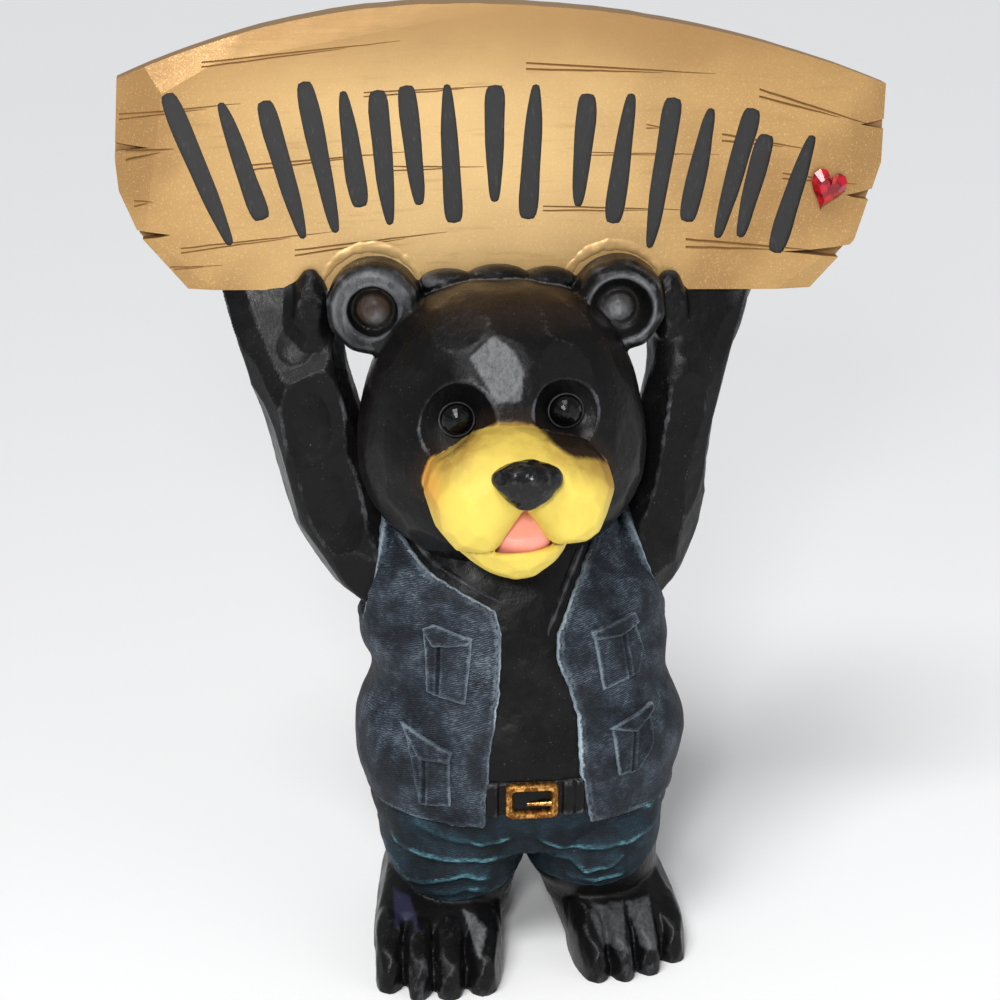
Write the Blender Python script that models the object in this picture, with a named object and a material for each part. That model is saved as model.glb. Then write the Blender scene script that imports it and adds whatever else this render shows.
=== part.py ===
"""A standing bear that holds an arched board over its head, as one painted casting.

The bear faces -Y and stands on z = 0. Its free form is written in shares of its own height, so that
pose and carving keep their proportions. The board, the eyes and the heart have sizes of their own.
"""

import math

import bmesh
import bpy
import numpy as np
from mathutils import Matrix, Vector
from mathutils.bvhtree import BVHTree

# Driving dimensions, in metres
BEAR_HEIGHT = 0.372
BOARD_LENGTH = 0.408
BOARD_FOOT_LENGTH = 0.337
BOARD_END_HEIGHT = 0.111
BOARD_ARCH_RISE = 0.041
BOARD_ARCH_APEX = -0.020
BOARD_THICKNESS = 0.022
BOARD_SEAT = 0.0055
BOARD_LEAN = math.radians(1.3)
STROKE_DEPTH = 0.0016
EYE_DIAMETER = 0.0166
EYE_BULGE = 0.0064
GEM_WIDTH = 0.0200
GEM_HEIGHT = 0.0225
GEM_THICKNESS = 0.0055
FIT_GAP = 0.0003

# One share of the bear's height, which is 1 mm at this size
SHARES = 372
SHARE = BEAR_HEIGHT / SHARES

# Fineness of the board's arch, the power of its curve, and the board's place
ARCH_POINTS = 14
ARCH_POWER = 2.1
BOARD_FRONT = 12 * SHARE
BOARD_CENTRE_X = 8 * SHARE

# Fineness of the skin
VOXEL = 2.4 * SHARE
SMOOTHING_PASSES = 5
SKIN_TRIANGLES = 6800
RING_POINTS = 32
CHISEL_SEED = 11

# Sections of the upright lofts in shares: height, centre x, centre y, half width, half depth
TORSO = (
    (60, 13.5, -5, 66, 46),
    (66, 13.5, -5, 75, 55),
    (76, 13, -6, 80, 61),
    (90, 13, -7, 82, 65),
    (108, 12.5, -7, 87, 66),
    (128, 13, -6, 86.5, 64),
    (157, 12.5, -4, 78.5, 59),
    (180, 10, -2, 81, 56),
    (203, 8, 1, 79, 53),
    (226, 5, 5, 67, 48),
    (250, 4, 8, 52, 42),
)
HEAD = (
    (222, 2, -8, 22, 20),
    (230, 2, -11, 46, 42),
    (245, 2, -13, 64, 57),
    (264, 2.5, -13, 75, 65),
    (284, 2.5, -13, 78, 67),
    (306, 2.5, -12, 75.5, 65),
    (328, 2.5, -12, 69.5, 60),
    (348, 2.5, -12, 58.5, 51),
    (362, 2.5, -12, 44, 38),
    (370, 2.5, -12, 26, 23),
    (372.5, 2.5, -12, 8, 7),
)
LEFT_LEG = (
    (20, -25.6, -9, 33, 48),
    (32, -24.8, -9, 35.2, 50),
    (42, -23.7, -9, 37.8, 52),
    (58, -22, -9, 40.5, 54),
    (84, -20, -8, 46, 56),
)
RIGHT_LEG = (
    (20, 57.5, -9, 30.5, 46),
    (32, 55.3, -9, 34.2, 48),
    (42, 52, -9, 39, 51),
    (58, 50, -9, 41.5, 54),
    (84, 46, -8, 46, 56),
)
# Sections of the arms, from shoulder to palm: centre x, y, z, half width, half depth
LEFT_ARM = (
    (-47, 5, 196, 19, 22),
    (-64, 8, 214, 25, 26),
    (-79, 11, 240, 28, 26),
    (-91, 13, 272, 27, 25),
    (-100, 14, 303, 27, 24),
    (-106, 17, 330, 27.5, 22),
    (-113, 21, 348, 28, 17),
    (-118, 23, 360, 28, 14),
    (-120, 23, 371, 27.5, 11),
)
RIGHT_ARM = (
    (66, 5, 192, 18, 22),
    (80, 8, 210, 23, 26),
    (90, 11, 236, 24.5, 26),
    (97, 13, 266, 25, 25),
    (102, 14, 294, 24, 24),
    (108, 17, 323, 23.5, 22),
    (115, 21, 341, 26, 17),
    (119, 23, 354, 26, 14),
    (120, 23, 364, 25.5, 11),
)
# Sections of a foot: distance forward of the ankle, half width, top height
FOOT = (
    (-42, 17, 24),
    (-32, 27, 38),
    (-12, 32, 52),
    (8, 34, 52),
    (34, 35, 46),
    (56, 35.5, 37),
    (70, 34, 29),
    (79, 27, 17),
)
# Feet: the ankle's x and y, the splay, a factor on the width, and how far each toe reaches
LEFT_FOOT = ((-32, -3), math.radians(-5.5), 1.0, (91, 99, 99, 94))
RIGHT_FOOT = ((60, 4), math.radians(6.5), 0.92, (93, 95, 91, 80))
# Toes: offset from the foot's middle, and half width
TOES = ((-25.8, 9.6), (-9.8, 8.9), (6.4, 9.6), (24.6, 10.6))
TOE_HALF_LENGTH = 33
TOE_HALF_HEIGHT = 21
TOE_MIDDLE = 11
SOLE = -6

# Ears: the centre, the turn, and the radius and depth of each step of the turned profile
EARS = (
    ((-65, -8, 358.5), math.radians(-8), (
        (0, 22), (21, 22), (25.3, 14), (25.8, 0), (24, -6), (20, -9.8), (14.8, -9.8),
        (12.6, -2), (10, -1.2), (8.2, -4.2), (5, -6.2), (0, -7),
    )),
    ((66, -8, 357), math.radians(-3), (
        (0, 22), (21, 22), (25.3, 14), (25.8, 0), (24, -6), (20.4, -10), (17, -9.8),
        (12.6, -3.6), (9.6, -1.8), (7, -4.8), (4, -6.4), (0, -7),
    )),
)

# Sections of the two cheeks: height, centre x, centre y, half width, half depth
LEFT_CHEEK = (
    (251.5, -20.5, -86, 5, 8),
    (254, -21, -86, 12.5, 19),
    (259.5, -21.5, -83.5, 16.5, 28),
    (266, -20.5, -81, 20.5, 32),
    (273, -18.8, -79.5, 24.4, 34.5),
    (282, -17, -79, 28.6, 35),
    (292, -13, -78, 28.5, 33.5),
    (301, -8, -76, 24, 29),
    (308, -3, -73, 17, 21),
    (312, 0, -70, 8, 10),
)
RIGHT_CHEEK = (
    (254, 30, -86, 5, 8),
    (256.5, 30.5, -86, 12, 19),
    (262, 30.5, -83.5, 15.5, 28),
    (268, 29.5, -81, 19.5, 32),
    (274, 28.3, -79.5, 23.8, 34.5),
    (282, 26.5, -79, 27.6, 35),
    (292, 21.5, -78, 28, 33.5),
    (301, 16, -76, 24.5, 29),
    (308, 10, -73, 17, 21),
    (312, 6, -70, 8, 10),
)
# Jaw as a bowl, in the same measures, up to its lip and down inside
JAW = (
    (235, 3, -87, 5, 7),
    (236.2, 3, -86.5, 9, 11),
    (240, 2.5, -85, 16.5, 17),
    (246, 1, -83, 24, 22),
    (251.5, 0, -81, 29.5, 25.5),
    (255.4, -0.5, -80, 32, 27.5),
    (257.2, -0.5, -80, 31, 27),
    (257.4, -0.5, -80, 28.8, 25),
    (255.4, -0.5, -80, 26.8, 22.6),
    (252.6, -0.5, -80, 25, 21),
    (251.4, -0.5, -80, 12, 11),
)
# The lip slopes down to the front: slope, and the depth and height where the slope starts
LIP_SLOPE = (0.24, -80, 240)
# Muzzle, mouth and crown roll, as ellipsoids: centre x, y, z, half sizes x, y, z
BRIDGE = (4.5, -81, 292, 26, 34, 20)
TONGUE = (4, -84, 262, 20, 22, 17)
NOSE = (4, -116, 292, 17.5, 10.5, 13)
MUZZLE_PAINT = (4, 278, 52, 39)
CROWN_ROLL = ((-25, 4, 369, 15, 12, 7), (2, 3, 371, 17, 12, 7), (29, 4, 369, 15, 12, 7))
THUMBS = ((-97.5, 9, 353, 10.5, 12, 25), (96, 9, 349, 10.5, 12, 24))
EYES = ((-26.5, -67.5, 313.5), (30, -67.5, 316.5))

# Edges of the vest in shares, as x and z across the front
LEFT_FRONT_EDGE = (
    (-13, 78), (-10, 124), (-4, 157), (-2, 190), (-5, 202), (-19, 209), (-40, 221), (-55, 238), (-66, 256),
)
RIGHT_FRONT_EDGE = (
    (46, 78), (39, 115), (38, 144), (33, 161), (27, 175), (28, 189), (37, 209), (51, 235), (70, 258),
)
LEFT_ARMHOLE = ((-71, 187), (-62, 246))
RIGHT_ARMHOLE = ((92, 186), (70, 250))
# Height of the hem at the front and at the sides, and the depths between which it climbs
VEST_HEM = (85, 90)
HEM_CLIMB = (-70, -10)
VEST_RISE = 3.6
VEST_TOP = 248
BELT = (92, 111)
BELT_RISE = 1.6
BUCKLE = (12.5, 101.5)
BUCKLE_SIZE = (29, 21)
BUCKLE_BAR = 4.6
BUCKLE_DEPTH = 5.0
# Pocket bodies: centre x and z, width, height and lean in degrees
POCKETS = (
    (-32, 173, 26, 34, -4), (-42, 121, 24, 34, -14), (59, 176, 26, 32, 10), (69, 126, 25, 32, 20),
)
# Crests of the folds across the front of the jeans, as x and z
JEANS_FOLDS = (
    ((-69, 74), (-60, 57), (-51, 47), (-43, 48), (-26, 54), (-5, 50)),
    ((-64, 72), (-51, 66), (-26, 63), (-3, 62), (8, 68)),
    ((12, 82), (28, 70), (47, 67), (68, 69), (88, 76)),
    ((19, 64), (36, 61), (44, 53), (56, 56), (68, 63)),
)
FOLD_RISE = 2.6
FOLD_WIDTH = 4.0
# Chisel planes on the arms: their spacing and depth
CHISEL = (19, 2.4)
# Flat facets round a convex body: how many directions, and how deep each plane cuts
SKULL_FACETS = (90, 1.2)
MUZZLE_FACETS = (46, 1.9)
JAW_FACETS = (46, 1.2)
FOOT_FACETS = (60, 1.4)
TOE_FACETS = (34, 1.3)
TONGUE_FACET = ((-0.05, -0.80, 0.60), 4.0)
# Hollows round the eyes: radius and depth
SOCKET_HOLLOW = (15, 5.0)
FAR = 1e9
POCKET_RISE = 1.5
FLAP_SHARE = 0.32

FUR, YELLOW, NOSE_BLACK, PINK, DENIM, JEANS, BELT_BLACK, BRASS, GOLD, INK = range(10)
PAINTS = (
    ("black_fur_paint", (0.012, 0.012, 0.014), 0.34, 0.0),
    ("yellow_muzzle_paint", (0.72, 0.55, 0.10), 0.42, 0.0),
    ("black_nose_paint", (0.008, 0.008, 0.008), 0.16, 0.0),
    ("pink_tongue_paint", (0.75, 0.32, 0.26), 0.45, 0.0),
    ("denim_vest_paint", (0.035, 0.050, 0.085), 0.62, 0.0),
    ("jeans_paint", (0.022, 0.060, 0.100), 0.60, 0.0),
    ("black_belt_paint", (0.012, 0.012, 0.012), 0.40, 0.0),
    ("gold_buckle_paint", (0.62, 0.36, 0.10), 0.34, 0.8),
    ("gold_board_paint", (0.58, 0.36, 0.14), 0.38, 0.35),
    ("black_stroke_paint", (0.014, 0.012, 0.010), 0.50, 0.0),
)

# Labels of the block-out's parts, kept on the skin
TRUNK, LEG, FOOT_PART, ARM, THUMB, SKULL, EAR, CHEEK, MOUTH, SNOUT_TIP, ROLL = range(11)


# Helpers for lofts

def through(rows, count):
    """Rows of numbers drawn as smooth curves through every row, at even steps."""
    rows = np.array(rows, float)
    place = np.linspace(0, len(rows) - 1, count)
    index = np.clip(place.astype(int), 0, len(rows) - 2)
    t = (place - index)[:, None]
    padded = np.vstack([2 * rows[0] - rows[1], rows, 2 * rows[-1] - rows[-2]])
    a, b, c, d = (padded[index + k] for k in range(4))
    bend = 2 * a - 5 * b + 4 * c - d
    return b + 0.5 * t * (c - a + t * (bend + t * (3 * (b - c) + d - a)))


def ring(centre, across, deep, half_width, half_depth, squareness=2.2):
    """A closed superellipse of points: squareness 2 is an ellipse, and more is squarer."""
    angle = np.linspace(0, 2 * math.pi, RING_POINTS, endpoint=False)
    wide = np.sign(np.cos(angle)) * np.abs(np.cos(angle)) ** (2 / squareness) * half_width
    far = np.sign(np.sin(angle)) * np.abs(np.sin(angle)) ** (2 / squareness) * half_depth
    return np.array(centre) + wide[:, None] * np.array(across) + far[:, None] * np.array(deep)


def facings(count, seed):
    """Directions spread evenly round a body, each a little off."""
    height = 1 - 2 * (np.arange(count) + 0.5) / count
    flat = np.sqrt(1 - height ** 2)
    turn = np.arange(count) * math.pi * (3 - math.sqrt(5))
    even = np.column_stack([flat * np.cos(turn), flat * np.sin(turn), height])
    even += np.random.default_rng(seed).normal(0, 0.45 / math.sqrt(count), even.shape)
    return even / np.linalg.norm(even, axis=1)[:, None]


def slice_facet(edit, point, facing, merge=1e-7):
    """Plane off what lies beyond a plane, and cap the cut."""
    everything = edit.verts[:] + edit.edges[:] + edit.faces[:]
    cut = bmesh.ops.bisect_plane(
        edit, geom=everything, dist=merge, plane_co=point, plane_no=facing, clear_outer=True
    )
    rim = [part for part in cut["geom_cut"] if isinstance(part, bmesh.types.BMEdge)]
    if rim:
        bmesh.ops.edgeloop_fill(edit, edges=rim)


class BlockOut:
    """Closed bodies in shares that overlap, each face with the label of its part."""

    def __init__(self):
        self.points = []
        self.faces = []
        self.labels = []

    def loft(self, rings, label):
        start = len(self.points)
        size = len(rings[0])
        for points in rings:
            self.points.extend(points)
        for row in range(len(rings) - 1):
            low = start + row * size
            for i in range(size):
                j = (i + 1) % size
                self.faces.append((low + i, low + j, low + size + j, low + size + i))
        self.faces.append(tuple(range(start + size - 1, start - 1, -1)))
        self.faces.append(tuple(range(len(self.points) - size, len(self.points))))
        self.labels.extend([label] * (len(self.faces) - len(self.labels)))

    def ellipsoid(self, place, label, squareness=2.0):
        x, y, z, half_x, half_y, half_z = place
        rings = []
        for lift in np.linspace(-0.97, 0.97, 15) * math.pi / 2:
            slim = math.cos(lift)
            centre = (x, y, z + half_z * math.sin(lift))
            rings.append(ring(centre, (1, 0, 0), (0, 1, 0), half_x * slim, half_y * slim, squareness))
        self.loft(rings, label)

    def facet(self, start, directions, inset):
        """Cut flat facets round the convex bodies added since a point, with the same planes for all."""
        edit = bmesh.new()
        verts = [edit.verts.new(point) for point in self.points[start:]]
        first = next(i for i, face in enumerate(self.faces) if min(face) >= start)
        for face in self.faces[first:]:
            edit.faces.new([verts[i - start] for i in face])
        bmesh.ops.recalc_face_normals(edit, faces=edit.faces)
        for direction in directions:
            facing = Vector(direction).normalized()
            reach = max(vert.co.dot(facing) for vert in edit.verts)
            slice_facet(edit, facing * (reach - inset), facing, 1e-4)
        edit.verts.index_update()
        self.points[start:] = [np.array(vert.co) for vert in edit.verts]
        self.faces[first:] = [tuple(start + vert.index for vert in face.verts) for face in edit.faces]
        self.labels[first:] = [self.labels[-1]] * len(edit.faces)
        edit.free()

    def mesh(self, name):
        mesh = bpy.data.meshes.new(name)
        mesh.from_pydata([tuple(np.array(p) * SHARE) for p in self.points], [], self.faces)
        return mesh


# Block-out of the bear

def add_upright(block, sections, label, squareness=2.2):
    rings = []
    for height, x, y, half_width, half_depth in through(sections, 4 * len(sections)):
        rings.append(ring((x, y, height), (1, 0, 0), (0, 1, 0), half_width, half_depth, squareness))
    block.loft(rings, label)


def add_arm(block, sections):
    rows = through(sections, 4 * len(sections))
    along = np.gradient(rows[:, :3], axis=0)
    rings = []
    for row, direction in zip(rows, along):
        direction = Vector(direction).normalized()
        across = Vector((0, 1, 0)).cross(direction).normalized()
        deep = direction.cross(across)
        rings.append(ring(row[:3], across, deep, row[3], row[4], 2.3))
    block.loft(rings, ARM)


def add_foot(block, ankle, splay, width, toes):
    """A flat-soled foot with four toes, turned out by its splay. It starts below z = 0."""
    forward = np.array((math.sin(splay), -math.cos(splay), 0))
    side = np.array((math.cos(splay), math.sin(splay), 0))
    start = np.array((ankle[0], ankle[1], 0))
    rings = []
    for reach, half_width, top in through(FOOT, 4 * len(FOOT)):
        centre = start + forward * reach + np.array((0, 0, (top + SOLE) / 2))
        rings.append(ring(centre, side, (0, 0, 1), half_width * width, (top - SOLE) / 2, 2.6))
    body = len(block.points)
    block.loft(rings, FOOT_PART)
    count, inset = FOOT_FACETS
    block.facet(body, facings(count, 5), inset)
    for number, ((offset, half_width), reach) in enumerate(zip(TOES, toes)):
        rings = []
        for turn in np.linspace(-0.97, 0.97, 13) * math.pi / 2:
            slim = math.cos(turn)
            along = reach - TOE_HALF_LENGTH + 6 + TOE_HALF_LENGTH * math.sin(turn)
            centre = start + forward * along + side * offset * width
            centre[2] = TOE_MIDDLE - 5 * math.sin(turn)
            across = half_width * width * slim ** 0.7
            rings.append(ring(centre, side, (0, 0, 1), across, TOE_HALF_HEIGHT * slim ** 0.8, 2.6))
        body = len(block.points)
        block.loft(rings, FOOT_PART)
        count, inset = TOE_FACETS
        block.facet(body, facings(count, 7 + number), inset)


def add_ear(block, centre, turn, profile):
    """A cupped ear turned about an axis that faces forward, with a dome in its cup."""
    swing = Matrix.Rotation(turn, 4, "Z")
    rings = []
    for radius, depth in profile:
        circle = ring((0, depth, 0), (1, 0, 0), (0, 0, 1), max(radius, 0.6), max(radius, 0.6), 2.0)
        rings.append(np.array([swing @ Vector(p) + Vector(centre) for p in circle]))
    block.loft(rings, EAR)


def add_muzzle(block):
    """Two faceted cheeks under a bridge, and a jaw whose lip slopes down round the tongue."""
    body = len(block.points)
    add_upright(block, LEFT_CHEEK, CHEEK, 2.1)
    add_upright(block, RIGHT_CHEEK, CHEEK, 2.1)
    block.ellipsoid(BRIDGE, CHEEK)
    count, inset = MUZZLE_FACETS
    block.facet(body, facings(count, 14), inset)
    body = len(block.points)
    add_upright(block, JAW, CHEEK, 2.1)
    count, inset = JAW_FACETS
    block.facet(body, [facing for facing in facings(count, 3) if facing[2] < 0], inset)
    slope, level, low = LIP_SLOPE
    for i in range(body, len(block.points)):
        x, y, z = block.points[i]
        lift = min(max((z - low) / 14, 0), 1)
        block.points[i] = np.array((x, y, z + slope * (y - level) * lift))
    body = len(block.points)
    block.ellipsoid(TONGUE, MOUTH, 2.5)
    facing, inset = TONGUE_FACET
    block.facet(body, [facing], inset)
    block.ellipsoid(NOSE, SNOUT_TIP, 2.6)


def block_out_bear():
    block = BlockOut()
    add_upright(block, HEAD, SKULL, 2.1)
    count, inset = SKULL_FACETS
    block.facet(0, facings(count, 21), inset)
    add_upright(block, TORSO, TRUNK, 2.3)
    add_upright(block, LEFT_LEG, LEG, 2.4)
    add_upright(block, RIGHT_LEG, LEG, 2.4)
    add_arm(block, LEFT_ARM)
    add_arm(block, RIGHT_ARM)
    add_foot(block, *LEFT_FOOT)
    add_foot(block, *RIGHT_FOOT)
    for ear in EARS:
        add_ear(block, *ear)
    add_muzzle(block)
    for lobe in CROWN_ROLL:
        block.ellipsoid(lobe, ROLL)
    for number, thumb in enumerate(THUMBS):
        body = len(block.points)
        block.ellipsoid(thumb, THUMB, 2.4)
        count, inset = TOE_FACETS
        block.facet(body, facings(count, 40 + number), inset)
    return block


# Regions of the skin, as signed distances in shares that are positive inside

def line_distance(x, z, line):
    """The distance from each point to a line of points across the front."""
    nearest = np.full(len(x), FAR)
    for (ax, az), (bx, bz) in zip(line, line[1:]):
        length = (bx - ax) ** 2 + (bz - az) ** 2
        t = np.clip(((x - ax) * (bx - ax) + (z - az) * (bz - az)) / length, 0, 1)
        nearest = np.minimum(nearest, np.hypot(x - ax - t * (bx - ax), z - az - t * (bz - az)))
    return nearest


def beside(x, z, line, side):
    """Distance from the line, positive on the side of lower x (-1) or of higher x (1)."""
    edge = np.interp(z, [p[1] for p in line], [p[0] for p in line])
    return np.where((x - edge) * side > 0, 1, -1) * line_distance(x, z, line)


def within(x, z, line, side):
    """Distance from the straight line of an armhole, positive on the body's side."""
    (ax, az), (bx, bz) = line
    length = math.hypot(bx - ax, bz - az)
    return side * ((x - ax) * (bz - az) - (z - az) * (bx - ax)) / length


def step(distance, width=1.6):
    """0 outside and 1 inside, with a smooth rise about the edge."""
    t = np.clip(distance / width + 0.5, 0, 1)
    return t * t * (3 - 2 * t)


def vest_distance(p, labels):
    x, y, z = p.T
    left = beside(x, z, LEFT_FRONT_EDGE, -1)
    right = beside(x, z, RIGHT_FRONT_EDGE, 1)
    panels = np.where(y < 0, np.maximum(left, right), 99)
    left_hole = np.maximum(within(x, z, LEFT_ARMHOLE, 1), LEFT_ARMHOLE[0][1] - z)
    right_hole = np.maximum(within(x, z, RIGHT_ARMHOLE, -1), RIGHT_ARMHOLE[0][1] - z)
    hem = np.interp(y, HEM_CLIMB, VEST_HEM)
    inside = np.minimum.reduce([panels, left_hole, right_hole, z - hem, VEST_TOP - z])
    cloth = (labels == TRUNK) | (labels == ARM) | (labels == LEG)
    return np.where(cloth, inside, -99)


def pocket_distance(p, pocket):
    """Distance inside a pocket's outline, and the height inside it from 0 to 1."""
    x, y, z = p.T
    cx, cz, width, height, lean = pocket
    turn = math.radians(lean)
    across = (x - cx) * math.cos(turn) + (z - cz) * math.sin(turn)
    up = (z - cz) * math.cos(turn) - (x - cx) * math.sin(turn)
    inside = np.minimum(width / 2 - np.abs(across), height / 2 - np.abs(up))
    return np.where(y < 0, inside, -99), up / height + 0.5


def buckle_distance(p):
    """Distance inside the buckle's plate, and inside its window."""
    x, y, z = p.T
    across = np.abs(x - BUCKLE[0]) - BUCKLE_SIZE[0] / 2
    up = np.abs(z - BUCKLE[1]) - BUCKLE_SIZE[1] / 2
    plate = np.where(y < 0, -np.maximum(across, up), -99)
    return plate, plate - BUCKLE_BAR


def muzzle_distance(p):
    """Positive inside the yellow, which ends along an arch over the snout."""
    x, y, z = p.T
    cx, cz, half_width, rise = MUZZLE_PAINT
    return 1 - ((x - cx) / half_width) ** 2 - (np.maximum(z - cz, 0) / rise) ** 2


def region_of(p, labels):
    """The paint of each point of the skin."""
    vest = vest_distance(p, labels) > 0
    z = p[:, 2]
    plate, window = buckle_distance(p)
    paint = np.full(len(p), FUR)
    trunk = (labels == TRUNK) | (labels == LEG)
    paint[trunk & (z < BELT[0])] = JEANS
    paint[trunk & (z >= BELT[0]) & (z < BELT[1])] = BELT_BLACK
    paint[vest] = DENIM
    paint[trunk & (plate > 0) & (window < 0)] = BRASS
    paint[(labels == CHEEK) & (muzzle_distance(p) > 0)] = YELLOW
    paint[labels == MOUTH] = PINK
    paint[labels == SNOUT_TIP] = NOSE_BLACK
    return paint


# Carving

def scatter(points, normals, spacing, seed):
    """Points of the skin that lie at least a spacing apart, in a fixed random order."""
    rng = np.random.default_rng(seed)
    order = rng.permutation(len(points))[:6000]
    kept = []
    for index in order:
        if not kept or np.min(np.sum((points[kept] - points[index]) ** 2, axis=1)) > spacing ** 2:
            kept.append(index)
    jitter = rng.normal(0, 0.07, (len(kept), 3))
    facing = normals[kept] + jitter
    return points[kept], facing / np.linalg.norm(facing, axis=1)[:, None]


def chisel(points, normals, weight, spacing, depth, seed):
    """Flatten the weighted skin into planes, as a carver's flat cuts leave it."""
    chosen = weight > 0.5
    seeds, facing = scatter(points[chosen], normals[chosen], spacing, seed)
    travel = np.full(len(points), FAR)
    for place, plane in zip(seeds, facing):
        away = points - place
        distance = np.linalg.norm(away, axis=1)
        near = (distance < 2.2 * spacing) & (normals @ plane > 0.35)
        rise = -(away[near] @ plane) / (normals[near] @ plane)
        rise += 2.5 * np.maximum(0, distance[near] / spacing - 0.9) ** 2 * depth
        travel[near] = np.minimum(travel[near], rise)
    travel = np.clip(np.where(travel == FAR, 0, travel) - 0.5 * depth, -depth, 0.3 * depth)
    return travel * weight


def hollow(points, centre, radius):
    """A round soft hollow's weight about a centre."""
    distance = np.linalg.norm(points - np.array(centre), axis=1)
    return np.exp(-(distance / radius) ** 2)


def cloth_relief(p, labels):
    """How far the vest, its pockets, the belt and the buckle stand out."""
    vest = vest_distance(p, labels)
    relief = VEST_RISE * step(vest)
    for pocket in POCKETS:
        inside, height = pocket_distance(p, pocket)
        flap = step(height - (1 - FLAP_SHARE), 0.06)
        relief += step(vest) * step(inside) * POCKET_RISE * (0.6 + 0.7 * flap)
    x, y, z = p.T
    trunk = np.where((labels == TRUNK) | (labels == LEG), 1.0, 0.0)
    belt = np.minimum(z - BELT[0], BELT[1] - z)
    relief += trunk * (1 - step(vest)) * step(belt) * BELT_RISE
    plate, window = buckle_distance(p)
    relief += trunk * (step(plate) * BUCKLE_DEPTH - step(window) * (BUCKLE_DEPTH - 1.5)) * (1 - step(vest))
    return relief


def fold_relief(p, labels):
    """The swags of the jeans and their bunching at the back, and the vest's soft hollows."""
    x, y, z = p.T
    jeans = np.where((labels == LEG) | (labels == TRUNK), 1.0, 0.0) * step(BELT[0] - 3 - z, 6)
    front = np.clip(-y / 30, 0, 1)
    swags = sum(np.exp(-(line_distance(x, z, fold) / FOLD_WIDTH) ** 2) for fold in JEANS_FOLDS)
    bunching = np.sin(0.34 * z + 0.05 * np.abs(x - BUCKLE[0]))
    vest = step(vest_distance(p, labels))
    waves = np.sin(z * 0.16 + np.sign(x - 14) * 0.8) + 0.6 * np.sin(x * 0.19 + z * 0.07 + y * 0.05)
    creases = FOLD_RISE * (front * np.minimum(swags, 1.2) + 0.5 * (1 - front) * bunching)
    return jeans * (1 - vest) * creases + 0.7 * vest * waves


def evaluated_mesh(item):
    """The item's mesh as its modifiers leave it."""
    graph = bpy.context.evaluated_depsgraph_get()
    return bpy.data.meshes.new_from_object(item.evaluated_get(graph), depsgraph=graph)


def settle(item):
    """Replace the item's mesh by the one its modifiers make, and drop the modifiers."""
    mesh = evaluated_mesh(item)
    item.modifiers.clear()
    item.data = mesh


def read_points(mesh):
    points = np.empty(len(mesh.vertices) * 3)
    mesh.vertices.foreach_get("co", points)
    normals = np.empty(len(mesh.vertices) * 3)
    mesh.vertex_normals.foreach_get("vector", normals)
    return points.reshape(-1, 3) / SHARE, normals.reshape(-1, 3)


def write_points(mesh, points):
    mesh.vertices.foreach_set("co", (points * SHARE).ravel())
    mesh.update()


def labels_of(points, block):
    """Each point takes the label of the block-out's nearest face."""
    tree = BVHTree.FromPolygons([tuple(point) for point in block.points], block.faces)
    return np.array([block.labels[tree.find_nearest(point)[2]] for point in points])


def carve(mesh, block):
    """Raise the clothes, sink the eye sockets and cut the flat chisel planes."""
    p, normals = read_points(mesh)
    labels = labels_of(p, block)
    cloth = cloth_relief(p, labels) + fold_relief(p, labels)
    radius, depth = SOCKET_HOLLOW
    sockets = sum(hollow(p, (x, y - 4, z), radius) for x, y, z in EYES)
    p = p + normals * (cloth - depth * sockets * (labels == SKULL))[:, None]
    write_points(mesh, p)
    p, normals = read_points(mesh)
    paint = region_of(p, labels)
    bare = np.where((paint == FUR) & (labels == ARM), 1.0, 0.0)
    p = p + normals * chisel(p, normals, bare, *CHISEL, CHISEL_SEED)[:, None]
    write_points(mesh, p)


# Building the solids

def make_item(name, mesh):
    item = bpy.data.objects.new(name, mesh)
    bpy.context.scene.collection.objects.link(item)
    return item


def make_paint(name, colour, roughness, metallic):
    material = bpy.data.materials.new(name)
    material.use_nodes = True
    surface = material.node_tree.nodes["Principled BSDF"]
    surface.inputs["Base Color"].default_value = (*colour, 1.0)
    surface.inputs["Roughness"].default_value = roughness
    surface.inputs["Metallic"].default_value = metallic
    return material


def hide_guide(item):
    item.hide_render = True
    item.display_type = "WIRE"


def cut_or_join(item, guide, operation):
    """Apply an exact Boolean with the guide, which is then removed."""
    hide_guide(guide)
    modifier = item.modifiers.new(operation.title(), "BOOLEAN")
    modifier.operation = operation
    modifier.object = guide
    modifier.material_mode = "TRANSFER"
    settle(item)
    bpy.data.objects.remove(guide)


def make_bear_skin(paints):
    """The block-out joined into one skin, carved, and thinned to flat facets."""
    block = block_out_bear()
    bear = make_item("bear_with_sign", block.mesh("bear_block_out"))
    remesh = bear.modifiers.new("One skin", "REMESH")
    remesh.mode = "VOXEL"
    remesh.voxel_size = VOXEL
    smooth = bear.modifiers.new("Soften", "SMOOTH")
    smooth.factor = 0.5
    smooth.iterations = SMOOTHING_PASSES
    settle(bear)
    carve(bear.data, block)
    thin = bear.modifiers.new("Thin", "DECIMATE")
    thin.ratio = SKIN_TRIANGLES / (2 * len(bear.data.polygons))
    thin.use_collapse_triangulate = True
    settle(bear)
    flatten_soles(bear.data)
    for paint in paints:
        bear.data.materials.append(paint)
    middles = np.array([face.center for face in bear.data.polygons]) / SHARE
    for face, paint in zip(bear.data.polygons, region_of(middles, labels_of(middles, block))):
        face.material_index = int(paint)
    return bear


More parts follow.
